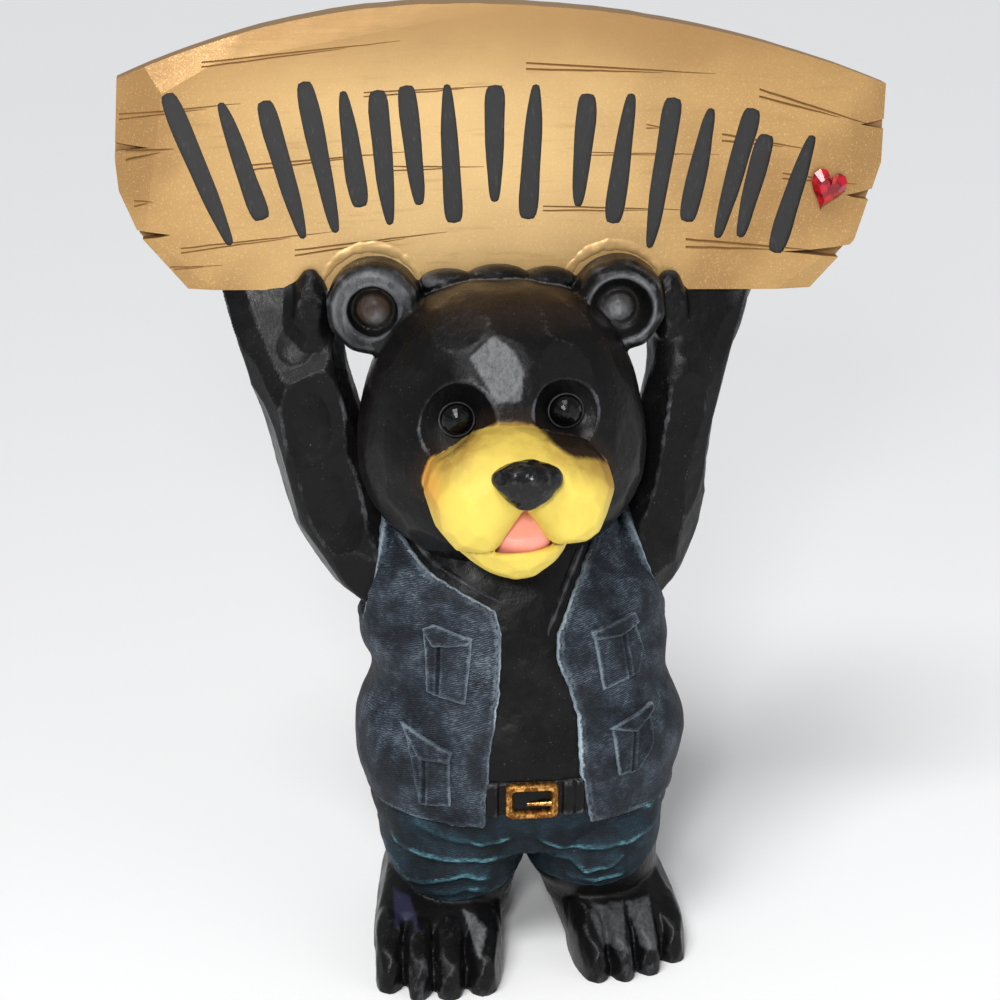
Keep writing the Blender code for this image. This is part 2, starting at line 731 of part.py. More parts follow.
def flatten_soles(mesh):
    """Cut the feet flat at z = 0 and cap the cuts."""
    edit = bmesh.new()
    edit.from_mesh(mesh)
    everything = edit.verts[:] + edit.edges[:] + edit.faces[:]
    cut = bmesh.ops.bisect_plane(
        edit, geom=everything, dist=1e-6, plane_co=(0, 0, 0), plane_no=(0, 0, -1), clear_outer=True
    )
    rims = [part for part in cut["geom_cut"] if isinstance(part, bmesh.types.BMEdge)]
    caps = bmesh.ops.edgeloop_fill(edit, edges=rims)
    bmesh.ops.triangulate(edit, faces=caps["faces"])
    edit.to_mesh(mesh)
    edit.free()


def board_outline():
    """The board's front outline about its middle: straight foot, slanted ends, arched top."""
    half = BOARD_LENGTH / 2
    foot_half = BOARD_FOOT_LENGTH / 2
    foot = -BOARD_END_HEIGHT * 0.68
    shoulder = foot + BOARD_END_HEIGHT
    elbow = foot + BOARD_END_HEIGHT * 0.62
    slant = half - foot_half
    right = [(foot_half, foot), (half - 0.38 * slant, foot + BOARD_END_HEIGHT * 0.24)]
    right += [(half, elbow), (half, shoulder)]
    left = [(-half, shoulder), (-half - 0.05 * slant, elbow), (-half, foot + BOARD_END_HEIGHT * 0.47)]
    left += [(-half + 0.30 * slant, foot + BOARD_END_HEIGHT * 0.26), (-foot_half, foot)]
    arch = []
    for i in range(1, ARCH_POINTS):
        x = half - BOARD_LENGTH * i / ARCH_POINTS
        away = x - BOARD_ARCH_APEX
        reach = half - math.copysign(1, away) * BOARD_ARCH_APEX
        lift = 1 - (abs(away) / reach) ** ARCH_POWER
        arch.append((x, shoulder + BOARD_ARCH_RISE * lift))
    return right + arch + left


def board_place():
    """The board's middle: its foot sinks into the palms by the seat."""
    palm = SHARE * (LEFT_ARM[-1][2] + RIGHT_ARM[-1][2]) / 2
    return Vector((BOARD_CENTRE_X, BOARD_FRONT, palm - BOARD_SEAT + BOARD_END_HEIGHT * 0.68))


def board_matrix():
    return Matrix.Translation(board_place()) @ Matrix.Rotation(BOARD_LEAN, 4, "Y")


def extrude_outline(outline, near, far):
    """A closed prism of an x and z outline between two depths."""
    edit = bmesh.new()
    face = edit.faces.new([edit.verts.new((x, near, z)) for x, z in outline])
    push = bmesh.ops.extrude_face_region(edit, geom=[face])
    moved = [part for part in push["geom"] if isinstance(part, bmesh.types.BMVert)]
    bmesh.ops.translate(edit, verts=moved, vec=(0, far - near, 0))
    bmesh.ops.recalc_face_normals(edit, faces=edit.faces)
    return edit


def board_facets():
    """Chisel planes along the board's edges: a point on the front edge and an outward slope."""
    half = BOARD_LENGTH / 2
    top = BOARD_END_HEIGHT * 0.32 + BOARD_ARCH_RISE
    foot = -BOARD_END_HEIGHT * 0.68
    return (
        ((-0.55 * half, 0, 0.90 * top), (-0.10, -1, 0.17)),
        ((0.42 * half, 0, 0.90 * top), (0.06, -1, 0.20)),
        ((0.72 * half, 0, 0.70 * top), (0.16, -1, 0.26)),
        ((-0.90 * half, 0, 0.10 * top), (-0.30, -1, 0.04)),
        ((0.91 * half, 0, 0.10 * top), (0.32, -1, 0.02)),
        ((0.78 * half, 0, 0.90 * foot), (0.22, -1, -0.30)),
        ((-0.80 * half, 0, 0.90 * foot), (-0.24, -1, -0.28)),
    )


# Rows of marks: middle x in shares of the half length, middle z and height in shares of the end
# height, lean in degrees, count, and pitch in shares of the half length
STROKE_GROUPS = (
    (-0.686, -0.06, 0.78, -19, 3, 0.109),
    (-0.403, 0.00, 0.74, -9, 3, 0.082),
    (-0.196, 0.02, 0.76, -4, 2, 0.098),
    (0.016, 0.03, 0.74, 2, 2, 0.098),
    (0.250, 0.00, 0.72, 6, 2, 0.103),
    (0.506, -0.07, 0.74, 10, 3, 0.098),
    (0.707, -0.17, 0.68, 15, 2, 0.109),
)
# Width of a mark in shares of the half length, and how far the cutters start outside the board
STROKE_SHARE = 0.0637
CUTTER_LIFT = 0.010
STROKE_POINTS = 12


def stroke_outline(x, z, height, lean, heavy_end):
    """A blunt gouge: full at one end and narrower at the other."""
    turn = math.radians(lean)
    half_width = STROKE_SHARE * BOARD_LENGTH / 4
    points = []
    for angle in np.linspace(0, 2 * math.pi, STROKE_POINTS, endpoint=False):
        along = math.cos(angle)
        taper = 0.76 + 0.24 * along * heavy_end
        across = math.copysign(abs(math.sin(angle)) ** 0.45, math.sin(angle)) * half_width * taper
        up = math.copysign(abs(along) ** 0.8, along) * height / 2
        across_x, across_z = across * math.cos(turn), -across * math.sin(turn)
        points.append((x + across_x + up * math.sin(turn), z + across_z + up * math.cos(turn)))
    return points


def stroke_cutters():
    """Every shallow mark as one mesh of separate prisms through the board's face."""
    half = BOARD_LENGTH / 2
    joined = bmesh.new()
    for x, z, height, lean, count, pitch in STROKE_GROUPS:
        for i in range(count):
            offset = (i - (count - 1) / 2) * pitch
            shorter = 1 - 0.12 * ((i * 2 + count) % 3)
            drop = 0.04 * ((i + count) % 2)
            outline = stroke_outline(
                (x + offset) * half, (z - drop) * BOARD_END_HEIGHT,
                height * shorter * BOARD_END_HEIGHT, lean + 3 * (i - 1), -1 if i % 2 else 1,
            )
            prism = extrude_outline(outline, -CUTTER_LIFT, STROKE_DEPTH)
            mesh = bpy.data.meshes.new("stroke")
            prism.to_mesh(mesh)
            prism.free()
            joined.from_mesh(mesh)
            bpy.data.meshes.remove(mesh)
    return joined


# Splits in the ends: place along the half length, height, length and rise of the tip
END_NOTCHES = (
    (-1.00, 0.02, 0.13, 0.03),
    (-0.93, -0.40, 0.05, -0.03),
    (1.00, 0.10, 0.05, 0.02),
    (0.96, -0.22, 0.05, -0.03),
    (0.88, -0.50, 0.13, -0.02),
)
# Half height of a split at its mouth in shares of the end height, and its depth in shares of the board's
NOTCH_HALF_HEIGHT = 0.05
NOTCH_DEPTH = 0.3


def end_notches():
    """Wedges that split the board's ends along the grain."""
    half = BOARD_LENGTH / 2
    wedge = NOTCH_HALF_HEIGHT * BOARD_END_HEIGHT
    joined = bmesh.new()
    for x, z, length, rise in END_NOTCHES:
        inward = -1 if x > 0 else 1
        x *= half
        z *= BOARD_END_HEIGHT
        tip = (x + inward * length * half, z + rise * BOARD_END_HEIGHT)
        mouth = x - inward * 2 * CUTTER_LIFT
        outline = [(mouth, z + wedge), (mouth, z - wedge), tip]
        prism = extrude_outline(outline, -CUTTER_LIFT, NOTCH_DEPTH * BOARD_THICKNESS)
        mesh = bpy.data.meshes.new("notch")
        prism.to_mesh(mesh)
        prism.free()
        joined.from_mesh(mesh)
        bpy.data.meshes.remove(mesh)
    return joined


def guide_from(edit, name, matrix, material=None):
    mesh = bpy.data.meshes.new(name)
    edit.to_mesh(mesh)
    edit.free()
    mesh.transform(matrix)
    if material:
        mesh.materials.append(material)
    return make_item(name, mesh)


def make_board(gold, ink):
    """The arched board: planed facets, split ends and shallow black marks."""
    edit = extrude_outline(board_outline(), 0, BOARD_THICKNESS)
    for point, facing in board_facets():
        slice_facet(edit, Vector(point), Vector(facing).normalized())
    board = guide_from(edit, "board", board_matrix(), gold)
    cut_or_join(board, guide_from(end_notches(), "notch_cutters", board_matrix(), gold), "DIFFERENCE")
    cut_or_join(board, guide_from(stroke_cutters(), "stroke_cutters", board_matrix(), ink), "DIFFERENCE")
    return board


def eye_mesh(name, growth):
    """A flattened ball, larger than the eye by a growth on every side."""
    edit = bmesh.new()
    bmesh.ops.create_uvsphere(edit, u_segments=16, v_segments=10, radius=1)
    bmesh.ops.rotate(edit, verts=edit.verts, cent=(0, 0, 0), matrix=Matrix.Rotation(math.pi / 2, 3, "X"))
    size = (EYE_DIAMETER / 2 + growth, EYE_BULGE + growth, EYE_DIAMETER / 2 + growth)
    bmesh.ops.scale(edit, verts=edit.verts, vec=size)
    mesh = bpy.data.meshes.new(name)
    edit.to_mesh(mesh)
    edit.free()
    return mesh


def make_eyes(glass):
    eyes = []
    for name, place in zip(("left_eye", "right_eye"), EYES):
        eye = make_item(name, eye_mesh(name, 0))
        eye.location = Vector(place) * SHARE
        eye.data.materials.append(glass)
        eye.data.shade_smooth()
        eyes.append(eye)
    return eyes


def cut_sockets(bear):
    for place in EYES:
        socket = make_item("socket", eye_mesh("socket", FIT_GAP))
        socket.location = Vector(place) * SHARE
        bpy.context.view_layer.update()
        cut_or_join(bear, socket, "DIFFERENCE")


GEM_POINTS = 20
GEM_TABLE_SHARE = 0.55
GEM_LEAN = math.radians(16)
# Middle of the gem: x in shares of the half length, z in shares of the end height
GEM_PLACE = (0.849, -0.19)


def heart_outline(scale):
    """A heart about its middle by the usual heart formula, at a share of its full size."""
    points = []
    for i in range(GEM_POINTS):
        t = 2 * math.pi * (i + 0.5) / GEM_POINTS
        x = 16 * math.sin(t) ** 3
        z = 13 * math.cos(t) - 5 * math.cos(2 * t) - 2 * math.cos(3 * t) - math.cos(4 * t) + 2.5
        points.append((x / 32 * GEM_WIDTH * scale, z / 29 * GEM_HEIGHT * scale))
    return points


def make_gem(red):
    """A faceted heart: flat back, girdle, and a smaller table joined by slanted facets."""
    edit = bmesh.new()
    layers = ((0.92, 0.0), (1.0, 0.25), (GEM_TABLE_SHARE, 1.0))
    loops = []
    for scale, height in layers:
        depth = -height * GEM_THICKNESS
        loops.append([edit.verts.new((x, depth, z)) for x, z in heart_outline(scale)])
    for low, high in zip(loops, loops[1:]):
        for i in range(GEM_POINTS):
            j = (i + 1) % GEM_POINTS
            edit.faces.new((low[i], low[j], high[j], high[i]))
    edit.faces.new(loops[0])
    edit.faces.new(list(reversed(loops[-1])))
    bmesh.ops.recalc_face_normals(edit, faces=edit.faces)
    mesh = bpy.data.meshes.new("heart_gem")
    edit.to_mesh(mesh)
    edit.free()
    x, z = GEM_PLACE
    seat = Vector((x * BOARD_LENGTH / 2, -FIT_GAP, z * BOARD_END_HEIGHT))
    mesh.transform(board_matrix() @ Matrix.Translation(seat) @ Matrix.Rotation(GEM_LEAN, 4, "Y"))
    gem = make_item("heart_gem", mesh)
    gem.data.materials.append(red)
    return gem


def centre_over_origin(items):
    """Stand the figure with the middle of its box over the origin, by one parent empty."""
    bpy.context.view_layer.update()
    corners = np.array([item.matrix_world @ Vector(corner) for item in items for corner in item.bound_box])
    middle = (corners.min(axis=0) + corners.max(axis=0)) / 2
    stand = bpy.data.objects.new("stand", None)
    bpy.context.scene.collection.objects.link(stand)
    stand.location = (-middle[0], -middle[1], 0)
    for item in items:
        item.parent = stand


def build():
    for item in list(bpy.data.objects):
        bpy.data.objects.remove(item)
    paints = [make_paint(*paint) for paint in PAINTS]
    bear = make_bear_skin(paints)
    board = make_board(paints[GOLD], paints[INK])
    cut_or_join(bear, board, "UNION")
    cut_sockets(bear)
    eyes = make_eyes(make_paint("black_glass_eye", (0.004, 0.004, 0.004), 0.05, 0.0))
    gem = make_gem(make_paint("red_glass_gem", (0.50, 0.0, 0.02), 0.08, 0.1))
    centre_over_origin([bear, gem, *eyes])


build()
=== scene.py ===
"""The look of a standing bear that holds an arched board over its head, cast and painted by hand.

Free form is written in shares of the bear's height, as in the part, and set in its place by the eyes.
"""

import math

import bmesh
import bpy
import numpy as np
from mathutils import Matrix, Vector, noise
from mathutils.bvhtree import BVHTree


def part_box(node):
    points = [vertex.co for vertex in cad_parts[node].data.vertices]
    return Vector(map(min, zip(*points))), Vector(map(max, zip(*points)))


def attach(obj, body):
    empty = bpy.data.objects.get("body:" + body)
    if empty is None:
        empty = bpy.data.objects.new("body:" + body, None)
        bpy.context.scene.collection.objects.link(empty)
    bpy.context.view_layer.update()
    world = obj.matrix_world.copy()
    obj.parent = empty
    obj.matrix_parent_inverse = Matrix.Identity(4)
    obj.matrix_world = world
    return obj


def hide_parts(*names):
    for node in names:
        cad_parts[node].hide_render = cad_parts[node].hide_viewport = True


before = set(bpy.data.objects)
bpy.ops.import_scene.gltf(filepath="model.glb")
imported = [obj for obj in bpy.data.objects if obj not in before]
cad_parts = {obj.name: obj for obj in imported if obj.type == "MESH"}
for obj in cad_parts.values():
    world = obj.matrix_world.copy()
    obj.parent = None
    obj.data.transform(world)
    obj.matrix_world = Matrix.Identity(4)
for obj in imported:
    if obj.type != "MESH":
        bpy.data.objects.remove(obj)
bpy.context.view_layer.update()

# The bear's body
# Trunk, legs, arms and feet are one hollow resin casting, sprayed gloss black and rubbed back
# along the ridges of its chisel cuts. The clothes below are carved on it.

EYES = ((-26.5, -67.5, 313.5), (30, -67.5, 316.5))
eye_centres = [sum(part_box(name), Vector()) / 2 for name in ("left_eye", "right_eye")]
SHARE = (eye_centres[1] - eye_centres[0]).length / math.dist(*EYES)
SHIFT = np.array(eye_centres[0]) - SHARE * np.array(EYES[0])

# Sections of the uprights: height, centre x, centre y, half width, half depth
TORSO = (
    (60, 13.5, -5, 66, 46), (66, 13.5, -5, 75, 55), (76, 13, -6, 80, 61), (90, 13, -7, 82, 65),
    (108, 12.5, -7, 87, 66), (128, 13, -6, 86.5, 64), (157, 12.5, -4, 78.5, 59), (180, 10, -2, 81, 56),
    (203, 8, 1, 79, 53), (226, 5, 5, 67, 48), (250, 4, 8, 52, 42),
)
LEFT_LEG = (
    (20, -25.8, -9, 32.8, 48), (32, -25.3, -9, 34.2, 50), (42, -24.5, -9, 36, 52), (58, -23, -9, 38.5, 54),
    (84, -20, -8, 46, 56),
)
RIGHT_LEG = (
    (20, 57.5, -9, 30.5, 46), (32, 55.8, -9, 33.2, 48), (42, 53, -9, 37, 51), (58, 51, -9, 39, 54),
    (84, 46, -8, 46, 56),
)
# Sections of the arms, from shoulder to palm: centre x, y, z, half width, half depth
LEFT_ARM = (
    (-47, 5, 196, 19, 22), (-64, 8, 214, 25, 26), (-79, 11, 240, 28, 26), (-91, 13, 272, 27, 25),
    (-100, 14, 303, 27, 24), (-106, 17, 330, 27.5, 22), (-113, 21, 348, 28, 17), (-118, 23, 360, 28, 14),
    (-120, 23, 371, 27.5, 11),
)
RIGHT_ARM = (
    (66, 5, 192, 18, 22), (80, 8, 210, 23, 26), (90, 11, 236, 24.5, 26), (97, 13, 266, 25, 25),
    (102, 14, 294, 24, 24), (108, 17, 323, 23.5, 22), (115, 21, 341, 26, 17), (119, 23, 354, 26, 14),
    (120, 23, 364, 25.5, 11),
)
THUMBS = ((-97.5, 9, 353, 10.5, 12, 25), (96, 9, 349, 10.5, 12, 24))
# Sections of a foot: distance forward of the ankle, half width, top height
FOOT = (
    (-42, 17, 24), (-32, 27, 38), (-12, 32, 52), (8, 34, 52), (34, 35, 46), (56, 35.5, 37), (70, 34, 29),
    (79, 27, 17),
)
# Feet: the ankle's x and y, the splay, a factor on the width, and how far each toe reaches
LEFT_FOOT = ((-32, -3), math.radians(-5.5), 1.0, (91, 99, 99, 94))
RIGHT_FOOT = ((60, 4), math.radians(6.5), 0.92, (93, 95, 91, 80))
# Toes: offset from the foot's middle, and half width
TOES = ((-25.8, 9.6), (-9.8, 8.9), (6.4, 9.6), (24.6, 10.6))
TOE_HALF_LENGTH = 33
TOE_HALF_HEIGHT = 21
TOE_MIDDLE = 11
TOE_DROP = 5
TOE_STAND = 6
# The block-out reaches below the ground, and its skin is brought flat to z = 0
SOLE = -6

TRUNK, LEG, FOOT_PART, ARM, THUMB, SKULL, EAR, CHEEK, JAWBONE, CROWN = range(10)
CLOTH_VOXEL = 1.42
SHARP_ANGLE = math.radians(38)
# Facets of the arms: their seed, spacing, depth, and how much longer they are along the arm
CHISEL_SEED = 12
CHISEL_SPACING = 21
CHISEL_DEPTH = 2.6
CHISEL_STRETCH = np.array((1, 1, 0.55))
GOLDEN_TURN = math.pi * (3 - math.sqrt(5))
ACROSS, DEEP, UP = (1, 0, 0), (0, 1, 0), (0, 0, 1)


def link(item):
    """Put a new object in the scene."""
    bpy.context.scene.collection.objects.link(item)
    return item


def evaluated(item):
    """A new mesh of an object with its modifiers applied."""
    graph = bpy.context.evaluated_depsgraph_get()
    return bpy.data.meshes.new_from_object(item.evaluated_get(graph), depsgraph=graph)


def height_at(x, line):
    """The height at each x of a line of points across the front."""
    return np.interp(x, [point[0] for point in line], [point[1] for point in line])


def through(rows, count):
    """Rows of numbers drawn as smooth curves through every row, at even steps."""
    rows = np.array(rows, float)
    place = np.linspace(0, len(rows) - 1, count)
    index = np.clip(place.astype(int), 0, len(rows) - 2)
    t = (place - index)[:, None]
    padded = np.vstack([2 * rows[0] - rows[1], rows, 2 * rows[-1] - rows[-2]])
    a, b, c, d = (padded[index + k] for k in range(4))
    bend = 2 * a - 5 * b + 4 * c - d
    return b + 0.5 * t * (c - a + t * (bend + t * (3 * (b - c) + d - a)))


def ring(centre, across, deep, half_width, half_depth, squareness=2.2, count=56):
    """A closed superellipse of points: squareness 2 is an ellipse, and more is squarer."""
    angle = np.linspace(0, 2 * math.pi, count, endpoint=False)
    wide = np.sign(np.cos(angle)) * np.abs(np.cos(angle)) ** (2 / squareness) * half_width
    far = np.sign(np.sin(angle)) * np.abs(np.sin(angle)) ** (2 / squareness) * half_depth
    return np.array(centre) + wide[:, None] * np.array(across) + far[:, None] * np.array(deep)


def facings(count, seed):
    """Directions spread evenly round a body, each a little off."""
    height = 1 - 2 * (np.arange(count) + 0.5) / count
    flat = np.sqrt(1 - height ** 2)
    turn = np.arange(count) * GOLDEN_TURN
    even = np.column_stack([flat * np.cos(turn), flat * np.sin(turn), height])
    even += np.random.default_rng(seed).normal(0, 0.45 / math.sqrt(count), even.shape)
    return even / np.linalg.norm(even, axis=1)[:, None]


def slice_facet(edit, point, facing):
    """Plane off what lies beyond a plane, and cap the cut."""
    everything = edit.verts[:] + edit.edges[:] + edit.faces[:]
    cut = bmesh.ops.bisect_plane(
        edit, geom=everything, dist=1e-4, plane_co=point, plane_no=facing, clear_outer=True
    )
    rim = [part for part in cut["geom_cut"] if isinstance(part, bmesh.types.BMEdge)]
    if rim:
        bmesh.ops.edgeloop_fill(edit, edges=rim)


class BlockOut:
    """Closed bodies in shares that overlap, each face with the label of its part."""

    def __init__(self):
        self.points = []
        self.faces = []
        self.labels = []

    def loft(self, rings, label):
        start = len(self.points)
        size = len(rings[0])
        for points in rings:
            self.points.extend(points)
        for row in range(len(rings) - 1):
            low = start + row * size
            for i in range(size):
                j = (i + 1) % size
                self.faces.append((low + i, low + j, low + size + j, low + size + i))
        self.faces.append(tuple(range(start + size - 1, start - 1, -1)))
        self.faces.append(tuple(range(len(self.points) - size, len(self.points))))
        self.labels.extend([label] * (len(self.faces) - len(self.labels)))

    def facet(self, start, directions, inset):
        """Cut flat facets round the convex bodies added since a point, with the same planes for all."""
        edit = bmesh.new()
        verts = [edit.verts.new(point) for point in self.points[start:]]
        first = next(i for i, face in enumerate(self.faces) if min(face) >= start)
        for face in self.faces[first:]:
            edit.faces.new([verts[i - start] for i in face])
        bmesh.ops.recalc_face_normals(edit, faces=edit.faces)
        for direction in directions:
            facing = Vector(direction).normalized()
            reach = max(vert.co.dot(facing) for vert in edit.verts)
            slice_facet(edit, facing * (reach - inset), facing)
        edit.verts.index_update()
        self.points[start:] = [np.array(vert.co) for vert in edit.verts]
        self.faces[first:] = [tuple(start + vert.index for vert in face.verts) for face in edit.faces]
        self.labels[first:] = [self.labels[-1]] * len(edit.faces)
        edit.free()

    def upright(self, sections, label, squareness=2.2):
        rings = []
        for height, x, y, half_width, half_depth in through(sections, 6 * len(sections)):
            rings.append(ring((x, y, height), ACROSS, DEEP, half_width, half_depth, squareness))
        self.loft(rings, label)

    def ellipsoid(self, place, label, squareness=2.0):
        x, y, z, half_x, half_y, half_z = place
        rings = []
        for lift in np.linspace(-0.98, 0.98, 25) * math.pi / 2:
            slim = math.cos(lift)
            centre = (x, y, z + half_z * math.sin(lift))
            rings.append(ring(centre, ACROSS, DEEP, half_x * slim, half_y * slim, squareness))
        self.loft(rings, label)

    def arm(self, sections):
        rows = through(sections, 6 * len(sections))
        rings = []
        for row, direction in zip(rows, np.gradient(rows[:, :3], axis=0)):
            direction = Vector(direction).normalized()
            across = Vector(DEEP).cross(direction).normalized()
            rings.append(ring(row[:3], across, direction.cross(across), row[3], row[4], 2.3))
        self.loft(rings, ARM)

    def foot(self, ankle, splay, width, toes):
        """A flat-soled foot with four toes, turned out by its splay. It starts below z = 0."""
        forward = np.array((math.sin(splay), -math.cos(splay), 0))
        side = np.array((math.cos(splay), math.sin(splay), 0))
        start = np.array((ankle[0], ankle[1], 0))
        rings = []
        for reach, half_width, top in through(FOOT, 6 * len(FOOT)):
            centre = start + forward * reach + np.array((0, 0, (top + SOLE) / 2))
            rings.append(ring(centre, side, UP, half_width * width, (top - SOLE) / 2, 2.6))
        body = len(self.points)
        self.loft(rings, FOOT_PART)
        self.facet(body, facings(60, 5), 1.4)
        for number, ((offset, half_width), reach) in enumerate(zip(TOES, toes)):
            rings = []
            for turn in np.linspace(-0.97, 0.97, 21) * math.pi / 2:
                slim = math.cos(turn)
                along = reach - TOE_HALF_LENGTH + TOE_STAND + TOE_HALF_LENGTH * math.sin(turn)
                centre = start + forward * along + side * offset * width
                centre[2] = TOE_MIDDLE - TOE_DROP * math.sin(turn)
                across = half_width * width * slim ** 0.7
                rings.append(ring(centre, side, UP, across, TOE_HALF_HEIGHT * slim ** 0.8, 2.6))
            body = len(self.points)
            self.loft(rings, FOOT_PART)
            self.facet(body, facings(34, 7 + number), 1.3)

    def labels_at(self, points):
        """Each point takes the label of the nearest face."""
        tree = BVHTree.FromPolygons([tuple(point) for point in self.points], self.faces)
        return np.array([self.labels[tree.find_nearest(point)[2]] for point in points])

    def distance_to(self, points, *wanted):
        """The distance from each point to the bodies with these labels."""
        faces = [face for face, label in zip(self.faces, self.labels) if label in wanted]
        tree = BVHTree.FromPolygons([tuple(point) for point in self.points], faces)
        return np.array([tree.find_nearest(point)[3] for point in points])


class Skin:
    """Points in shares, triangles, and fields with one number at each point."""

    def __init__(self, points, triangles, fields=None):
        self.points = points
        self.triangles = triangles
        self.fields = fields or {}

    def normals(self):
        a, b, c = (self.points[self.triangles[:, k]] for k in range(3))
        facing = np.cross(b - a, c - a)
        total = np.zeros_like(self.points)
        for corner in self.triangles.T:
            for axis in range(3):
                total[:, axis] += np.bincount(corner, facing[:, axis], len(self.points))
        return total / np.maximum(np.linalg.norm(total, axis=1), 1e-9)[:, None]

    def mean(self, values):
        """The mean of each point's neighbours."""
        if values.ndim == 2:
            return np.stack([self.mean(column) for column in values.T], axis=1)
        here = self.triangles.ravel()
        near = self.triangles[:, [1, 2, 0]].ravel()
        here, near = np.concatenate([here, near]), np.concatenate([near, here])
        size = len(self.points)
        return np.bincount(here, values[near], size) / np.maximum(np.bincount(here, minlength=size), 1)

    def bend(self):
        """How far each point stands above its neighbours, from -1 in grooves to 1 on ridges."""
        bend = self.mean(np.sum((self.points - self.mean(self.points)) * self.normals(), axis=1))
        return np.clip(bend / max(np.percentile(np.abs(bend), 97), 1e-9), -1, 1)

    def push(self, distance):
        """Move each point along its normal."""
        self.points = self.points + self.normals() * np.reshape(distance, (-1, 1))

    def cut(self, value):
        """What lies where the value is positive, cut clean along its zero line."""
        value = np.where(np.abs(value) < 1e-5, 1e-5, value)
        inside = value[self.triangles] > 0
        count = inside.sum(axis=1)

        def turned(rows, first):
            return np.take_along_axis(rows, (first[:, None] + np.arange(3)) % 3, axis=1)

        ones = turned(self.triangles[count == 1], inside[count == 1].argmax(axis=1))
        twos = turned(self.triangles[count == 2], inside[count == 2].argmin(axis=1))
        pairs = np.sort(np.vstack([ones[:, :2], ones[:, ::2], twos[:, :2], twos[:, ::2]]), axis=1)
        edges, place = np.unique(pairs, axis=0, return_inverse=True)
        place = place.ravel() + len(self.points)
        start, end = value[edges[:, 0]], value[edges[:, 1]]
        share = start / (start - end)
        ends = np.cumsum([len(ones), len(ones), len(twos)])
        one_ab, one_ac, two_ab, two_ac = np.split(place, ends)
        triangles = np.vstack([
            self.triangles[count == 3],
            np.column_stack([ones[:, 0], one_ab, one_ac]),
            np.column_stack([two_ab, twos[:, 1], twos[:, 2]]),
            np.column_stack([two_ab, twos[:, 2], two_ac]),
        ])
        used, triangles = np.unique(triangles, return_inverse=True)

        def carried(values):
            split = (values[edges[:, 0]].T * (1 - share) + values[edges[:, 1]].T * share).T
            return np.concatenate([values, split])[used]

        fields = {name: carried(values) for name, values in self.fields.items()}
        fields["rim"] = carried(value)
        return Skin(carried(self.points), triangles.reshape(-1, 3), fields)

    def plate(self, rise, sink):
        """A closed plate on a patch: its face raised, its back sunk, and a wall round its rim."""
        normals = self.normals()
        size = len(self.points)
        face = self.points + normals * np.reshape(rise, (-1, 1))
        back = self.points - normals * sink
        here = self.triangles.ravel()
        near = self.triangles[:, [1, 2, 0]].ravel()
        rim = ~np.isin(here * size + near, near * size + here)
        a, b = here[rim], near[rim]
        triangles = np.vstack([
            self.triangles,
            self.triangles[:, ::-1] + size,
            np.column_stack([b, a, a + size]),
            np.column_stack([b, a + size, b + size]),
        ])
        fields = {name: np.tile(values, 2) for name, values in self.fields.items()}
        return Skin(np.vstack([face, back]), triangles, fields)

    def piece(self, name, material):
        """The finished piece of the casting."""
        mesh = bpy.data.meshes.new(name)
        mesh.from_pydata((self.points * SHARE + SHIFT).tolist(), [], self.triangles.tolist())
        for field, values in self.fields.items():
            attribute = mesh.attributes.new(field, "FLOAT", "POINT")
            attribute.data.foreach_set("value", np.asarray(values, np.float32))
        mesh.materials.append(material)
        mesh.shade_smooth()
        mesh.set_sharp_from_angle(angle=SHARP_ANGLE)
        add_to_casting(link(bpy.data.objects.new(name, mesh)))


def add_to_casting(item):
    """The object rides on the casting and stands in its place."""
    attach(item, "root")
    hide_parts("bear_with_sign")


def one_skin(block, voxel, passes):
    """The block-out's bodies joined into one skin and softened."""
    mesh = bpy.data.meshes.new("block_out")
    mesh.from_pydata([tuple(point) for point in block.points], [], block.faces)
    item = link(bpy.data.objects.new("block_out", mesh))
    remesh = item.modifiers.new("One skin", "REMESH")
    remesh.mode = "VOXEL"
    remesh.voxel_size = voxel
    smooth = item.modifiers.new("Soften", "SMOOTH")
    smooth.factor = 0.5
    smooth.iterations = passes
    result = evaluated(item)
    bpy.data.objects.remove(item)
    result.calc_loop_triangles()
    points = np.empty(3 * len(result.vertices))
    result.vertices.foreach_get("co", points)
    triangles = np.empty(3 * len(result.loop_triangles), int)
    result.loop_triangles.foreach_get("vertices", triangles)
    return Skin(points.reshape(-1, 3), triangles.reshape(-1, 3))


def scatter(points, normals):
    """Points of the skin that lie at least a facet apart, in a fixed random order."""
    rng = np.random.default_rng(CHISEL_SEED)
    order = rng.permutation(len(points))[:6000]
    kept = []
    for index in order:
        away = np.linalg.norm((points[kept] - points[index]) * CHISEL_STRETCH, axis=1)
        if not kept or away.min() > CHISEL_SPACING:
            kept.append(index)
    facing = normals[kept] + rng.normal(0, 0.07, (len(kept), 3))
    return points[kept], facing / np.linalg.norm(facing, axis=1)[:, None]


def chisel(skin, weight):
    """Flatten the weighted skin into planes, as a carver's flat cuts leave it."""
    points, normals = skin.points, skin.normals()
    chosen = weight > 0.5
    travel = np.full(len(points), 1e9)
    for place, plane in zip(*scatter(points[chosen], normals[chosen])):
        away = points - place
        distance = np.linalg.norm(away * CHISEL_STRETCH, axis=1)
        near = (distance < 2.2 * CHISEL_SPACING) & (normals @ plane > 0.35)
        turned = normals[near] @ plane
        rise = -(away[near] @ plane) / turned
        rise += 2.5 * np.maximum(0, distance[near] / CHISEL_SPACING - 0.9) ** 2 * CHISEL_DEPTH
        rise += 6.0 * np.maximum(0, 0.7 - turned) * CHISEL_DEPTH
        travel[near] = np.minimum(travel[near], rise)
    travel = np.where(travel > 1e8, 0, travel) - 0.5 * CHISEL_DEPTH
    skin.push(np.clip(travel, -1.3 * CHISEL_DEPTH, 0.3 * CHISEL_DEPTH) * weight)


